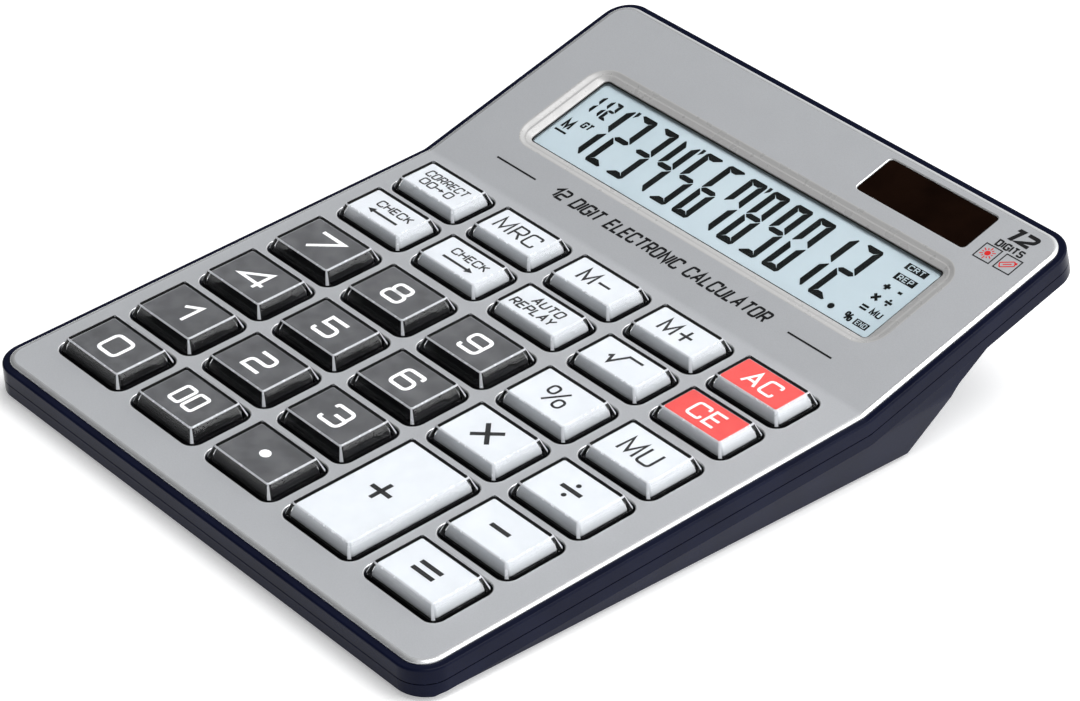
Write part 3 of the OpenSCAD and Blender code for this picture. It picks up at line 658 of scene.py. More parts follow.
def cap_section(key, inset, z, r):
    """Half sizes of the drafted key at a height, drawn in by inset."""
    t = max(z, 0) / key["rise"]
    return (key["hole"][0] / 2 - KEY_GAP - KEY_DRAFT[0] * t - inset,
            key["hole"][1] / 2 - KEY_GAP - KEY_DRAFT[1] * t - inset, max(r - inset * 0.5, 0.25), z)


def corner_radius(key, z):
    return BASE_R + (TOP_R - BASE_R) * max(z, 0) / key["rise"]


def drafted_sections(key, inset, z0, top, edge_r, steps=4):
    """The side of the key from z0 up, and the rounded edge round its top."""
    found = [cap_section(key, inset, z, corner_radius(key, z)) for z in (z0, 0.0, top - edge_r)]
    w, d, r, _ = cap_section(key, inset, top, corner_radius(key, top))
    for i in range(1, steps + 1):
        a = math.radians(90 * i / steps)
        draw_in = edge_r * (1 - math.cos(a))
        found.append((w - draw_in, d - draw_in, max(r - draw_in, 0.15), top - edge_r + edge_r * math.sin(a)))
    return found


def place_at(key):
    return DECK @ Matrix.Translation(key["mid"])


def mark_edges(bm, key):
    """Gives the rolled top edge and the middle of each upright corner a whitish painted highlight,
    and the skirt below the faceplate's top near-black painted shade."""
    for face in bm.faces:
        height = face.calc_center_median().z
        face.normal_update()
        slanting = abs(abs(face.normal.x) - abs(face.normal.y)) < 0.35
        if height > key["rise"] - EDGE_R or (slanting and height > 0):
            face.material_index = 1
        elif height < 0:
            face.material_index = 2


def make_cap(name, key):
    """The clear cap: an outer and an inner skin, joined round the bottom."""
    bm = bmesh.new()
    outer = loft(bm, drafted_sections(key, 0, CAP_FOOT, key["rise"], EDGE_R), False)
    mark_edges(bm, key)
    inner = loft(bm, drafted_sections(key, CAP_T, CAP_FOOT, key["rise"] - CAP_TOP_T, 0.12), False)
    # The ring that joins the skins round the bottom is near-black: painted shade in the gap
    close_skins(bm, outer, inner, 2)
    finishes = [ACRYLIC, ACRYLIC_HIGHLIGHT, PAINTED_SHADE_BLACK]
    finish_piece(bm, name + "_cap", finishes, name, place=place_at(key))


def core_top(key):
    return key["rise"] - CAP_TOP_T - CORE_SINK


def make_core(name, key, material):
    """The coloured core with its flange, hollow below, and the stem that meets the dome."""
    top = core_top(key)
    inset = CAP_T + CORE_GAP
    flange = (key["hole"][0] / 2 + FLANGE_OUT, key["hole"][1] / 2 + FLANGE_OUT)
    low = key["flange"]
    bm = bmesh.new()
    sides = drafted_sections(key, inset, low + FLANGE_T, top, 0.15)
    sides.insert(1, cap_section(key, inset, SKIRT_Z, BASE_R))
    hollow = [(w - CORE_WALL, d - CORE_WALL, 0.8, z) for w, d, _, z in
              (cap_section(key, inset, z, 1) for z in (low, 0.0, top - CORE_WALL))]
    loft(bm, [*hollow[::-1], (*flange, HOLE_R, low), (*flange, HOLE_R, low + FLANGE_T - 0.1),
              (flange[0] - 0.1, flange[1] - 0.1, HOLE_R, low + FLANGE_T), *sides])
    stem = [(STEM_R, top - CORE_WALL - 0.1), (STEM_R, low + 0.2), (STEM_R - 0.2, low)]
    loft(bm, [(r, r, r - 0.01, z) for r, z in stem])
    # Below this height the core is near-black: painted shade on a dark key's sides, and in the gap round a white
    # key
    shade_black_below = top - 0.1 if name in DARK_KEYS else SKIRT_Z
    for face in bm.faces:
        if face.calc_center_median().z < shade_black_below:
            face.material_index = 1
    finish_piece(bm, name + "_core", [material, PAINTED_SHADE_BLACK], name, [name], place_at(key))


def make_label(name, key):
    """The red film on the top of a clearing key's white core."""
    top = core_top(key)
    w, d, _, _ = cap_section(key, CAP_T + CORE_GAP, top, 1)
    bm = bmesh.new()
    loft(bm, [(w - 0.12, d - 0.12, 0.5, z) for z in (top, top + LABEL_T)])
    finish_piece(bm, name + "_label", LABEL_RED, name, place=place_at(key))


def letters(text, size=DIGIT, stroke=DIGIT_STROKE, spacing=None):
    return lambda bm, span: add_text(bm, text, 0, 0, size, stroke, span, spacing)


def replay_legend(bm, span):
    add_text(bm, "AUTO", 0.8, 1.7, (2.1, 2.3), 0.48, span, slant=0.12)
    add_text(bm, "REPLAY", -0.8, -1.7, (2.1, 2.3), 0.48, span, slant=0.12)


def arrow(bm, x, y, length, way, span, stroke=0.55):
    """A straight arrow with a solid head, pointing way along x."""
    tip, tail = x + way * length / 2, x - way * length / 2
    head_long = min(2.0, 0.4 * length)
    head_half = 0.48 * head_long
    neck = tip - way * head_long
    add_line(bm, (tail, y), (neck + way * 0.3, y), stroke, span)
    head = [(tip, y), (neck, y + head_half), (neck, y - head_half)]
    add_polygon(bm, head if way < 0 else head[::-1], span)


def check_legend(way):
    def draw(bm, span):
        add_text(bm, "CHECK", 1.1, 1.3, (2.1, 2.1), 0.42, span)
        arrow(bm, 0.3, -1.9, 10.2, way, span, 0.7)
    return draw


def correct_legend(bm, span):
    add_text(bm, "CORRECT", 0.3, 1.4, (1.75, 2.2), 0.4, span, spacing=0.62, slant=0.12)
    add_text(bm, "00", -3.1, -1.7, (2.0, 2.1), 0.42, span)
    arrow(bm, 0.8, -1.7, 3.3, 1, span, 0.4)
    add_text(bm, "0", 4.2, -1.7, (2.0, 2.1), 0.42, span)


def divide_legend(bm, span):
    add_line(bm, (-3.1, 0), (3.1, 0), SIGN_STROKE, span)
    for y in (-2.1, 2.1):
        add_disc(bm, 0, y, 0.62, 0.62, span)


def root_legend(bm, span):
    points = [(-3.9, -0.5), (-3.2, 0.2, 0), (-2.3, -2.2, 0), (0.1, 2.3, 0), (4.3, 2.3)]
    add_path(bm, points, 0, 0.7, span)


def point_legend(bm, span):
    add_disc(bm, 0, 0, 1.45, 1.25, span)


SYMBOL = (6.4, 6.0)
SIGN_STROKE = 1.15
WORD = (3.9, 4.4)
LEGENDS = {
    "key_0": letters("0", (6.1, 6.1)), "key_00": letters("00", (3.3, 5.6), 0.85, spacing=1.3),
    "key_point": point_legend,
    "key_1": letters("1", (6.4, 6.1)), "key_4": letters("4", (6.0, 6.2)), "key_7": letters("7", (6.3, 6.2)),
    **{f"key_{d}": letters(d) for d in "235689"},
    "key_plus": letters("+", (6.6, 6.3), SIGN_STROKE), "key_minus": letters("-", (6.2, 6), SIGN_STROKE),
    "key_multiply": letters("x", SYMBOL, SIGN_STROKE), "key_divide": divide_legend,
    "key_equals": letters("=", (7.0, 6.4), SIGN_STROKE), "key_percent": letters("%", (5.4, 5.6), 0.62),
    "key_markup": letters("MU", (4.3, 5.2), 0.68), "key_square_root": root_legend,
    "key_check_back": check_legend(-1), "key_check_forward": check_legend(1),
    "key_auto_replay": replay_legend,
    "key_correct": correct_legend,
    "key_memory_recall": letters("MRC", WORD, 0.58), "key_memory_minus": letters("M-", WORD, 0.68),
    "key_memory_plus": letters("M+", WORD, 0.68),
    "key_all_clear": letters("AC", (4.3, 4.6), 0.72), "key_clear_entry": letters("CE", (4.3, 4.6), 0.72),
}
DARK_KEYS = {f"key_{d}" for d in ("0", "00", "point", *"123456789")}
RED_KEYS = {"key_all_clear", "key_clear_entry"}


def make_legend(name, key):
    low = core_top(key) + (LABEL_T if name in RED_KEYS else 0) + PRINT_GAP
    bm = bmesh.new()
    LEGENDS[name](bm, (low, low + LEGEND_T))
    light = name in DARK_KEYS or name in RED_KEYS
    finish_piece(bm, name + "_legend", INK_WHITE if light else INK_BLACK, name,
                 place=place_at(key))


def make_keys():
    for name, key in KEYS.items():
        dark = name in DARK_KEYS
        make_core(name, key, CORE_DARK if dark else CORE_WHITE)
        make_cap(name, key)
        make_legend(name, key)
        if name in RED_KEYS:
            make_label(name, key)


# ---- Faceplate ----

PLATE_EDGE_R = 0.28
ROLL = (1.1, 0.45)


def sheet_outline(half_w, front, back, r, steps=10):
    """The outline of a bent sheet, laid flat, with points down its sides where it bends."""
    outline = rect_at(Vector((0, (back + front) / 2)), (2 * half_w, back - front), r, steps)
    bends = [BEND_HALF * (2 * i / 6 - 1) for i in range(7)]
    left = [(Vector((-half_w, y)), Vector((-1, 0))) for y in reversed(bends)]
    right = [(Vector((half_w, y)), Vector((1, 0))) for y in bends]
    half_way = 2 * (steps + 1)
    return outline[:half_way] + left + outline[half_way:] + right


def hole_outline(mid, size, r, steps=8, spare=(0, 0)):
    """A hole's outline with directions that point into the hole, away from the metal."""
    return [(p, -n) for p, n in rect_at(mid, size, r, steps, spare)]


def edge_profile(r, thickness, steps=4):
    """The rounded edge of a sheet, from its top face to its bottom face."""
    upper = arc_profile(r, 0, steps)
    lower = [(o, -thickness - z) for o, z in reversed(upper)]
    return upper + lower


def rolled_profile(width, drop, thickness, steps=7):
    """The sheet's outer edge, which curves down over that width before it ends."""
    turns = [math.radians(90 * i / steps) for i in range(steps + 1)]
    upper = [(-width + width * math.sin(a), -drop + drop * math.cos(a)) for a in turns]
    return upper + [(0, -thickness + 0.05), (-0.1, -thickness)]


def recess_rings(bm):
    """The sloped surround of the display: rolled at its top edge, with a narrow step half way
    down, and turned down at the window."""
    outer, inner = [[p for p, _ in rect_at(LCD_MID, size, r, 8)]
                    for size, r in ((RECESS, RECESS_R), (WINDOW, WINDOW_R))]
    # Share of the way in from the recess's edge to the window's, and height
    shape = [(-0.08, 0.0), (0.0, -0.015), (0.06, -0.07), (0.14, -0.17)]
    shape += [(0.36, -0.44), (0.42, -0.48), (0.5, -0.49), (0.56, -0.53)]
    shape += [(0.92, -RECESS_DEPTH + 0.1), (0.97, -RECESS_DEPTH + 0.03)]
    shape += [(1.0, -RECESS_DEPTH - 0.04), (1.0, LIP_BOTTOM)]
    shape += [(0.88, LIP_BOTTOM), (0.1, -PLATE_T - 0.1), (-0.08, -PLATE_T)]
    rings = []
    for t, z in shape:
        rings.append(plain_ring(bm, [a.lerp(b, t) for a, b in zip(outer, inner)], z))
    # The slopes and the window's wall get the lighter silver, painted light; the underside the plain silver
    for i, (a, b) in enumerate(zip(rings, rings[1:])):
        bridge(bm, a, b, 2 if i < len(rings) - 4 else 0)
    return rings[0], rings[-1]


def make_faceplate():
    bm = bmesh.new()
    profile = edge_profile(PLATE_EDGE_R, PLATE_T)
    rounded_rows = tuple(range(4))
    outlines = [hole_outline(k["mid"], k["hole"], HOLE_R) for k in KEYS.values()]
    outlines.append(hole_outline(SOLAR_MID, SOLAR_SIZE, SOLAR_R, 6))
    edge = sheet_outline(PLATE_HALF, PLATE_FRONT, PLATE_BACK, PLATE_R)
    # The outer rolled edge and the holes' rounded top edges get the painted highlight
    rims = [sweep(bm, edge, rolled_profile(*ROLL, PLATE_T), 1)]
    for outline in outlines:
        rims.append(sweep(bm, outline, profile, 0, edge_material=1, edge_rows=rounded_rows))
    rims.append(recess_rings(bm))
    for loops in zip(*rims):
        fill(bm, loops)
    cut_at_bend(bm)
    finish_piece(bm, "silver_faceplate", [SILVER, SILVER_HIGHLIGHT, SILVER_SLOPE_PAINTED_LIGHT], "case",
                 replaces=["faceplate"], place=unrolled)


# ---- Upper case: the wall and lip round the plate, and the panel under it ----

WALL_T = 1.8
LIP_R = 0.5
BORDER = 6.0


def make_top_case():
    outline = sheet_outline(CASE_HALF, PLATE_FRONT - RIM, PLATE_BACK + RIM, CASE_R, 12)
    panel_low = -PLATE_T - PANEL_T
    foot = PARTING + 0.02
    profile = [(-BORDER, -PLATE_T), *arc_profile(LIP_R, -PLATE_T, 5), (0, PARTING + 0.25), (-0.2, foot),
               (-WALL_T, foot), (-WALL_T, panel_low), (-BORDER, panel_low)]
    bm = bmesh.new()
    sweep(bm, outline, profile, closed=True)
    finish_piece(bm, "upper_case_wall", NAVY, "case", replaces=["top_case"], place=unrolled)

    bm = bmesh.new()
    inner = [(p - n * (BORDER + 0.05), n) for p, n in outline]
    holes = [hole_outline(k["mid"], k["hole"], HOLE_R, spare=(0.05, 0.05)) for k in KEYS.values()]
    holes.append(hole_outline(LCD_MID, RECESS, 0.8, spare=(0.6, 0.6)))
    holes.append(hole_outline(SOLAR_MID, SOLAR_SIZE, 0.3, spare=(1.2, 0.7)))
    walls = [sweep(bm, o, [(0, -PLATE_T - 0.01), (0, panel_low)]) for o in (inner, *holes)]
    for loops in zip(*walls):
        fill(bm, loops)
    cut_at_bend(bm)
    finish_piece(bm, "upper_case_panel", NAVY_INSIDE, "case", place=unrolled)


# ---- CAD pieces whose shape is right: their edges are broken, and they get their material ----

def refined(node, name, materials, width=0.2, sharp=30, segments=2):
    """A copy of a CAD node with its triangles joined into faces and its sharp edges rounded."""
    bm = bmesh.new()
    bm.from_mesh(NODES[node].data)
    bmesh.ops.remove_doubles(bm, verts=bm.verts, dist=2e-6)
    bmesh.ops.dissolve_limit(bm, angle_limit=math.radians(0.6), verts=bm.verts, edges=bm.edges)
    if width:
        edges = [e for e in bm.edges if e.is_manifold and e.calc_face_angle(0) > math.radians(sharp)]
        bmesh.ops.bevel(bm, geom=edges, offset=width * MM, segments=segments, profile=0.5,
                        affect="EDGES", clamp_overlap=True, offset_type="OFFSET")
    return finish_piece(bm, name, materials, BODY_OF[node], replaces=[node], weld=1e-7)


def make_case_parts():
    refined("bottom_case", "lower_case", NAVY, 0.3)
    refined("battery_door", "battery_door_panel", NAVY, 0.15)
    refined("rubber_feet", "feet", RUBBER, 0.35, segments=3)
    dark_screw = plated_metal("screw_black", (0.06, 0.06, 0.065), 0.35)
    refined("case_screws", "case_screw_set", dark_screw, 0.08)


# ---- Display ----

LCD_FACE_Z = local_box("lcd_cell", DISPLAY)[1].z
SEGMENT_Z = (LCD_FACE_Z + 0.005, LCD_FACE_Z + 0.045)
SEGMENTS_OF = {"0": "abcdef", "1": "bc", "2": "abged", "3": "abgcd", "4": "fgbc", "5": "afgcd",
               "6": "afgecd", "7": "abcf", "8": "abcdefg", "9": "abcdfg"}
LCD_SLANT = math.tan(math.radians(3))


def segment_outline(which, w, h, t):
    """One bar of a seven-segment digit whose corner is at 0, 0; t is the bars' width."""
    g = 0.09 * t
    mid = h / 2
    flat = {"a": (h, -1), "d": (0, 1)}
    if which in flat:
        y, way = flat[which]
        return [(g + 0.25 * t, y), (w - g - 0.25 * t, y), (w - g, y + way * 0.25 * t),
                (w - t - g, y + way * t), (t + g, y + way * t), (g, y + way * 0.25 * t)][::way]
    if which == "g":
        thin = 0.42 * t
        return [(0.14 * t, mid), (0.62 * t, mid - thin), (w - 0.62 * t, mid - thin), (w - 0.14 * t, mid),
                (w - 0.62 * t, mid + thin), (0.62 * t, mid + thin)]
    x0, x1 = (0, t) if which in "ef" else (w, w - t)
    outer_end, inner_end, way = (h, mid + g, 1) if which in "fb" else (0, mid - g, -1)
    return [(x0, outer_end - way * 0.35 * t), (x0, inner_end + way * 0.12 * t),
            (x0 + (x1 - x0) * 0.12, inner_end + way * 0.08 * t), (x1, inner_end + way * 0.86 * t),
            (x1, outer_end - way * (t + g)), (x0 + (x1 - x0) * 0.2, outer_end - way * 0.25 * t)]


def add_digit(bm, digit, x, y, w, h, t):
    for which in SEGMENTS_OF[digit]:
        outline = [(x + px + LCD_SLANT * py, y + py) for px, py in segment_outline(which, w, h, t)]
        area = sum(a[0] * b[1] - b[0] * a[1] for a, b in zip(outline, outline[1:] + outline[:1]))
        add_polygon(bm, outline if area > 0 else outline[::-1], SEGMENT_Z)


DIGIT_PITCH = 7.5
DIGIT_W = 5.3
DIGIT_H = 19.0
SEGMENT_T = 1.8
FIRST_DIGIT_X = -48.7
DIGIT_Y = 21.0


def make_lcd_digits():
    """The number shown, with its separators and decimal point."""
    bm = bmesh.new()
    for i, digit in enumerate("123456789012"):
        x = FIRST_DIGIT_X + i * DIGIT_PITCH
        add_digit(bm, digit, x, DIGIT_Y, DIGIT_W, DIGIT_H, SEGMENT_T)
        if i in (0, 3, 6):
            corner = x + DIGIT_W + 0.5 + LCD_SLANT * DIGIT_H
            top = DIGIT_Y + DIGIT_H
            tick = ((0, -2.3), (0.85, -1.2), (0.85, 0), (-0.1, 0))
            add_polygon(bm, [(corner + dx, top + dy) for dx, dy in tick], SEGMENT_Z)
    add_disc(bm, FIRST_DIGIT_X + 12 * DIGIT_PITCH + 0.5, DIGIT_Y - 0.1, 0.85, 0.85, SEGMENT_Z)
    finish_piece(bm, "lcd_number", INK_LCD, "case", place=DISPLAY)


def make_lcd_marks():
    """Small signs round the number: step count, memory, total, and the row of functions."""
    bm = bmesh.new()
    for i, digit in enumerate("112"):
        add_digit(bm, digit, -54.6 + 2.75 * i, 32.8, 2.3, 6.6, 0.95)
    span = SEGMENT_Z
    add_text(bm, "M", -53.3, 27.1, (2.0, 2.7), 0.72, span)
    add_line(bm, (-55.1, 24.4), (-51.3, 24.4), 0.6, span)
    add_text(bm, "GT", -48.8, 29.2, (1.25, 1.75), 0.52, span, spacing=0.6, slant=0.2)
    for x, y, sign in ((47.9, 32.6, "+"), (51.7, 32.8, "-"), (48.1, 28.8, "x"), (48.2, 25.0, "=")):
        size = {"-": (1.2, 1.9), "=": (2.1, 2.5)}.get(sign, (2.0, 1.9))
        add_text(bm, sign, x, y, size, 0.58 if sign == "=" else 0.72, span)
    add_line(bm, (50.7, 29.1), (52.7, 29.1), 0.68, span)
    for dy in (-0.8, 0.8):
        add_disc(bm, 51.7, 29.1 + dy, 0.36, 0.36, span, 12)
    add_text(bm, "MU", 51.9, 25.0, (1.3, 1.6), 0.42, span, spacing=0.55)
    add_text(bm, "%", 47.4, 20.9, (1.6, 2.1), 0.52, span)
    for x0, x1, y0, y1 in ((46.7, 53.0, 39.1, 41.1), (46.8, 52.9, 35.4, 37.5), (49.5, 53.5, 19.7, 21.6)):
        add_polygon(bm, [(x0, y0), (x1, y0), (x1, y1), (x0, y1)], span)
    finish_piece(bm, "lcd_marks", INK_LCD, "case", place=DISPLAY)


def make_lcd_box_letters():
    """Clear letters in the dark boxes."""
    bm = bmesh.new()
    span = (SEGMENT_Z[1], SEGMENT_Z[1] + 0.02)
    add_text(bm, "CRT", 49.85, 40.1, (1.3, 1.25), 0.26, span, spacing=0.6)
    add_text(bm, "REP", 49.85, 36.45, (1.3, 1.3), 0.26, span, spacing=0.6)
    add_text(bm, "END", 51.5, 20.65, (0.85, 1.15), 0.2, span, spacing=0.4)
    finish_piece(bm, "lcd_box_letters", LCD_FACE, "case", place=DISPLAY)


def make_window_border():
    """The black line printed round the window, between the recess and the lens."""
    low, high = LENS[1].z + 0.01, LENS[1].z + 0.04
    bm = bmesh.new()
    outline = rect_at(LCD_MID, WINDOW, WINDOW_R)
    sweep(bm, outline, [(0.6, high), (-0.4, high), (-0.4, low), (0.6, low)], closed=True)
    finish_piece(bm, "window_border", INK_BLACK, "case", place=DISPLAY)


def make_display():
    make_window_border()
    refined("lcd_cell", "lcd_glass_cell", LCD_FACE, 0.1)
    refined("display_window", "display_lens", WINDOW_GLASS, 0.12)
    make_lcd_digits()
    make_lcd_marks()
    make_lcd_box_letters()


SOLAR_FIELDS = 4


def make_solar():
    refined("solar_window", "solar_cover", SOLAR_COVER, 0.12)
    refined("solar_cell", "solar_panel", SOLAR_FACE, 0.1)
    low, high = local_box("solar_cell", DISPLAY)
    span = (high.z + 0.005, high.z + 0.03)
    bm = bmesh.new()
    for i in range(1, SOLAR_FIELDS):
        x = low.x + (high.x - low.x) * i / SOLAR_FIELDS
        add_line(bm, (x, low.y + 0.6), (x, high.y - 0.6), 0.25, span)
    tracks = plain_plastic("solar_tracks", (0.03, 0.012, 0.01), 0.4)
    finish_piece(bm, "solar_grid", tracks, "case", place=DISPLAY)


# ---- Printing on the faceplate ----

PRINT_T = 0.02


def add_big_twelve(bm, x, y, span):
    """A heavy slanted 12 whose lower left corner is at x, y."""
    slant = 0.35
    height = 4.2
    bar = [(0.0, 3.2), (0.9, 3.2), (0.9, 0.0), (2.1, 0.0), (2.1, height), (0.0, height)]
    add_polygon(bm, [(x + px + slant * py, y + py) for px, py in bar], span)
    stroke = 1.05
    turn = [(3.0, 3.67), (6.2, 3.67), (6.2, 2.3), (3.3, 0.53), (6.6, 0.53)]
    points = [(x + px + slant * py, y + py, r) for (px, py), r in zip(turn, (0, 0.9, 0.8, 0, 0))]
    add_path(bm, points, 0, stroke, span)


def make_plate_print():
    span = (0.002, PRINT_T)
    bm = bmesh.new()
    for x0, x1 in ((-57.0, -43.2), (41.6, 55.3)):
        add_line(bm, (x0, 8.0), (x1, 8.0), 0.5, span)
    row = "12 DIGIT ELECTRONIC CALCULATOR"
    add_text(bm, row, -0.8, 8.3, (2.25, 3.1), 0.64, span, spacing=0.86, slant=0.3)
    add_text(bm, "DIGITS", 63.7, 56.0, (1.3, 1.75), 0.48, span, spacing=0.62)
    add_big_twelve(bm, 60.0, 57.9, span)
    for x0, y0 in ((58.2, 49.7), (64.3, 49.7)):
        box = [(x0, y0), (x0 + 4.7, y0), (x0 + 4.7, y0 + 4.7), (x0, y0 + 4.7), (x0, y0)]
        add_path(bm, box, 0, 0.32, span)
    finish_piece(bm, "plate_print", INK_BLACK, "case", place=DISPLAY)

    bm = bmesh.new()
    sun = Vector((60.55, 52.05))
    add_disc(bm, sun.x, sun.y, 0.75, 0.75, span)
    for i in range(12):
        way = Vector((math.cos(math.radians(30 * i)), math.sin(math.radians(30 * i))))
        add_line(bm, sun + way * 1.05, sun + way * (1.9 if i % 2 else 1.55), 0.26, span)
    cell = Vector((66.65, 52.05))
    along = Vector((0.8, 0.6))
    side = Vector((-0.6, 0.8))
    body = ((-1.9, -0.7), (1.6, -0.7), (1.6, 0.7), (-1.9, 0.7), (-1.9, -0.7))
    add_path(bm, [tuple(cell + along * a + side * b) for a, b in body], 0.4, 0.3, span)
    add_line(bm, cell + along * 1.65, cell + along * 2.15, 0.6, span)
    add_line(bm, cell - along * 1.1, cell + along * 0.9, 0.3, span)
    finish_piece(bm, "plate_icons", INK_RED, "case", place=DISPLAY)


# ---- Inside ----

MAT_T = 0.7
DOME_R = (4.6, 3.0)
DOME_WALL = 0.5
RIBBON_ROOM = 0.5
NOTCH_DEPTH = 2.3


def add_flat_sheet(bm, loops, z0, z1):
    """A closed sheet between two heights, with an outer outline and the outlines of its holes."""
    low = [plain_ring(bm, loop, z0) for loop in loops]
    high = [plain_ring(bm, loop, z1) for loop in loops]
    for a, b in zip(low, high):
        bridge(bm, a, b)
    fill(bm, low)
    fill(bm, high)


def add_dome(bm, z0, z1):
    """A hollow silicone dome, open below."""
    skins = []
    for wall in (0, DOME_WALL):
        sizes = ((DOME_R[0] - wall, z0), (DOME_R[1] - wall, z1 - wall))
        skins.append(loft(bm, [(r, r, r - 0.01, z) for r, z in sizes], False))
    close_skins(bm, *skins)


def make_dome_mat():
    """The silicone sheet over the board, and on it a dome for each key."""
    silicone = plain_plastic("silicone_grey", (0.3, 0.31, 0.33), 0.55)
    low, high = local_box("dome_mat", DECK)
    top = low.z + MAT_T
    ribbon = local_box("lcd_ribbon", DECK)
    notch = (ribbon[1].x + RIBBON_ROOM, ribbon[0].x - RIBBON_ROOM, high.y - NOTCH_DEPTH)
    corners = [(low.x, low.y), (high.x, low.y), (high.x, high.y), (notch[0], high.y), (notch[0], notch[2]),
               (notch[1], notch[2]), (notch[1], high.y), (low.x, high.y)]
    loops = [[Vector(p) for p in corners]]
    for key in KEYS.values():
        hollow = DOME_R[0] - DOME_WALL
        loops.append([p for p, _ in rect_at(key["mid"], (2 * hollow, 2 * hollow), hollow - 0.01)])
    bm = bmesh.new()
    add_flat_sheet(bm, loops, low.z, top)
    finish_piece(bm, "dome_sheet", silicone, "case", replaces=["dome_mat"], place=DECK)
    for name, key in KEYS.items():
        bm = bmesh.new()
        add_dome(bm, top - 0.05, high.z)
        dome = finish_piece(bm, name + "_dome", silicone, "case", place=place_at(key))
        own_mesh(dome)


# The plain plastic pieces inside: node, piece, slot, edge width, material, color and roughness
PLAIN_INSIDE = (
    ("chip_blob", "chip_resin", "resin_black", 0.1, "resin_black", (0.008, 0.008, 0.008), 0.2),
    ("board_components", "small_components", "component_body", 0.08, "component", (0.1, 0.08, 0.07), 0.4),
    ("lcd_holder", "lcd_frame", "white_frame", 0.15, "frame_white", (0.72, 0.72, 0.71), 0.5),
    ("lcd_reflector", "lcd_back_film", "reflector_film", 0, "pearl_film", (0.7, 0.72, 0.73), 0.4),
    ("lcd_ribbon", "lcd_ribbon_film", "ribbon_film", 0, "ribbon_amber", (0.45, 0.2, 0.05), 0.3),
    ("solar_leads", "solar_lead_pair", "wire_sleeve", 0, "lead_sleeve", (0.3, 0.03, 0.03), 0.45),
    ("battery_leads", "battery_lead_pair", "wire_sleeve", 0, "lead_sleeve_dark", (0.03, 0.03, 0.03), 0.45),
)


def make_inside():
    zinc = plated_metal("zinc", (0.62, 0.63, 0.65))
    refined("board_screws", "board_screw_set", zinc, 0.06)
    refined("main_board", "circuit_board", circuit_board(), 0.08)
    make_dome_mat()
    for node, name, slot, edge, kind, color, roughness in PLAIN_INSIDE:
        refined(node, name, plain_plastic(kind, color, roughness), edge)
    refined("battery_cell", "aa_cell", CELL_JACKET, 0.4)
    refined("battery_spring", "coil_spring", zinc, 0)
    refined("battery_plate", "contact_plate", zinc, 0.08)


# ---- Floor, light and camera ----

# Angles in degrees, distances in metres, the lens in millimetres
CAMERA_AZIMUTH = 48.11
CAMERA_ELEVATION = 32.54
CAMERA_ROLL = 1.928
CAMERA_DISTANCE = 0.85544
CAMERA_LENS = 128.47
AIM = Vector((0.0025, -0.0008, 0.0112))
FLOOR_HALF = 6.0
FLOOR_GAP = 0.0002


def direction(azimuth, elevation):
    """From the object towards there; azimuth 0 is the front, and 90 its right side."""
    a, e = math.radians(azimuth), math.radians(elevation)
    return Vector((math.sin(a) * math.cos(e), -math.cos(a) * math.cos(e), math.sin(e)))


def make_camera():
    back = direction(CAMERA_AZIMUTH, CAMERA_ELEVATION)
    level = direction(CAMERA_AZIMUTH + 90, 0)
    upright = back.cross(level)
    roll = math.radians(CAMERA_ROLL)
    right = level * math.cos(roll) + upright * math.sin(roll)
    up = back.cross(right)
    data = bpy.data.cameras.new("camera")
    data.lens = CAMERA_LENS
    data.sensor_width = 36
    data.clip_start = 0.01
    camera = add_object("camera", data)
    turn = Matrix((right, up, back)).transposed().to_4x4()
    camera.matrix_world = Matrix.Translation(AIM + back * CAMERA_DISTANCE) @ turn
    bpy.context.scene.camera = camera


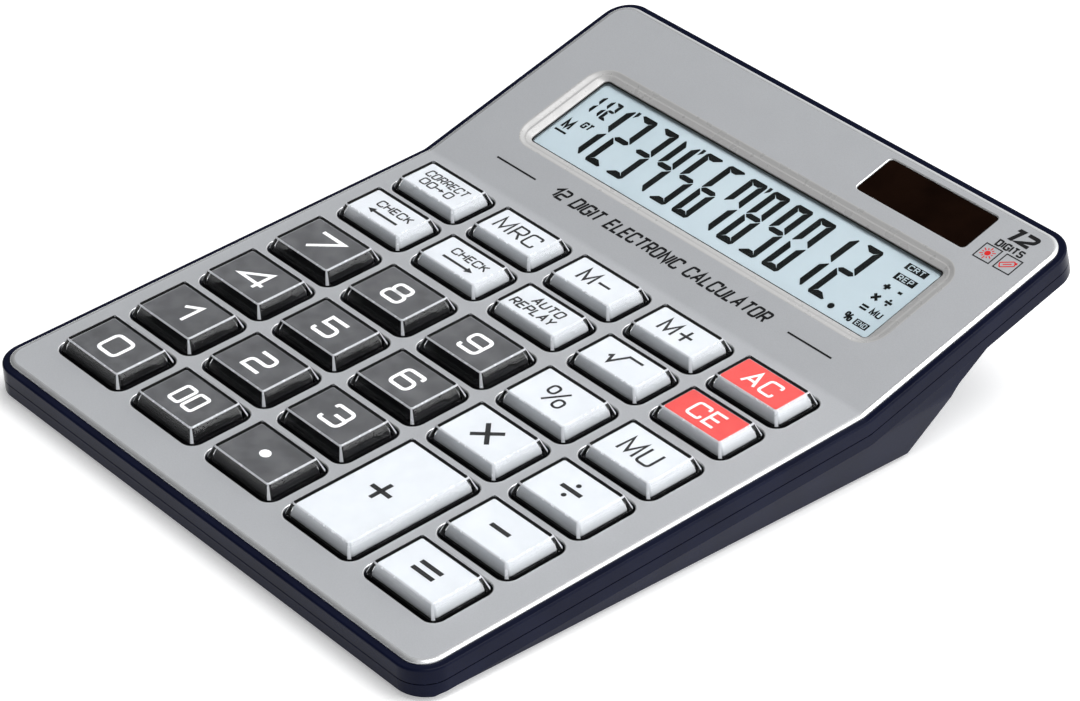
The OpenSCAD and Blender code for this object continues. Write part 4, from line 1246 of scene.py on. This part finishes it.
def make_floor():
    bm = bmesh.new()
    h = FLOOR_HALF
    bm.faces.new([bm.verts.new((x, y, 0)) for x, y in ((-h, -h), (h, -h), (h, h), (-h, h))])
    floor = add_object("floor", mesh_from(bm, "floor"))
    floor.location.z = -FLOOR_GAP
    floor.data.materials.append(PALE_FLOOR)


LAMP_AIM = Vector((0, 0, 0.02))


def add_area(name, azimuth, elevation, distance, size, power):
    way = direction(azimuth, elevation)
    data = bpy.data.lights.new(name, "AREA")
    data.shape = "RECTANGLE"
    data.size, data.size_y = size
    data.energy = power
    light = add_object(name, data)
    light.location = LAMP_AIM + way * distance
    light.visible_camera = False
    light.rotation_mode = "QUATERNION"
    light.rotation_quaternion = way.to_track_quat("Z", "Y")


# The studio's brightness on its lit and its dark side, and where the dark side lies
STUDIO_LIT = 0.87
STUDIO_DARK = 0.04
DARK_AZIMUTH = 305
DARK_RISE = 0.25


def make_world():
    """An even studio with a dark side in front and to the left, where nothing is lit."""
    world = bpy.data.worlds.new("studio")
    bpy.context.scene.world = world
    world.use_nodes = True
    nodes, links = world.node_tree.nodes, world.node_tree.links
    background = nodes["Background"]
    toward = nodes.new("ShaderNodeTexCoord")
    dark = nodes.new("ShaderNodeVectorMath")
    dark.operation = "DOT_PRODUCT"
    x, y, _ = direction(DARK_AZIMUTH, 0)
    dark.inputs[1].default_value = (x, y, DARK_RISE)
    share = nodes.new("ShaderNodeMapRange")
    share.interpolation_type = "SMOOTHSTEP"
    fade = (("From Min", -0.1), ("From Max", 0.8), ("To Min", STUDIO_LIT), ("To Max", STUDIO_DARK))
    for socket, value in fade:
        share.inputs[socket].default_value = value
    links.new(toward.outputs["Generated"], dark.inputs[0])
    links.new(dark.outputs["Value"], share.inputs["Value"])
    links.new(share.outputs["Result"], background.inputs["Strength"])
    background.inputs["Color"].default_value = (0.98, 0.99, 1, 1)


def make_light():
    make_world()
    add_area("top_light", 140, 74, 1.5, (1.1, 1.1), 13)
    add_area("side_light", 132, 17, 1.2, (1.0, 0.45), 3.6)
    bpy.context.scene.view_settings.view_transform = "Standard"


make_camera()
make_floor()
make_light()
make_keys()
make_faceplate()
make_top_case()
make_case_parts()
make_display()
make_solar()
make_plate_print()
make_inside()
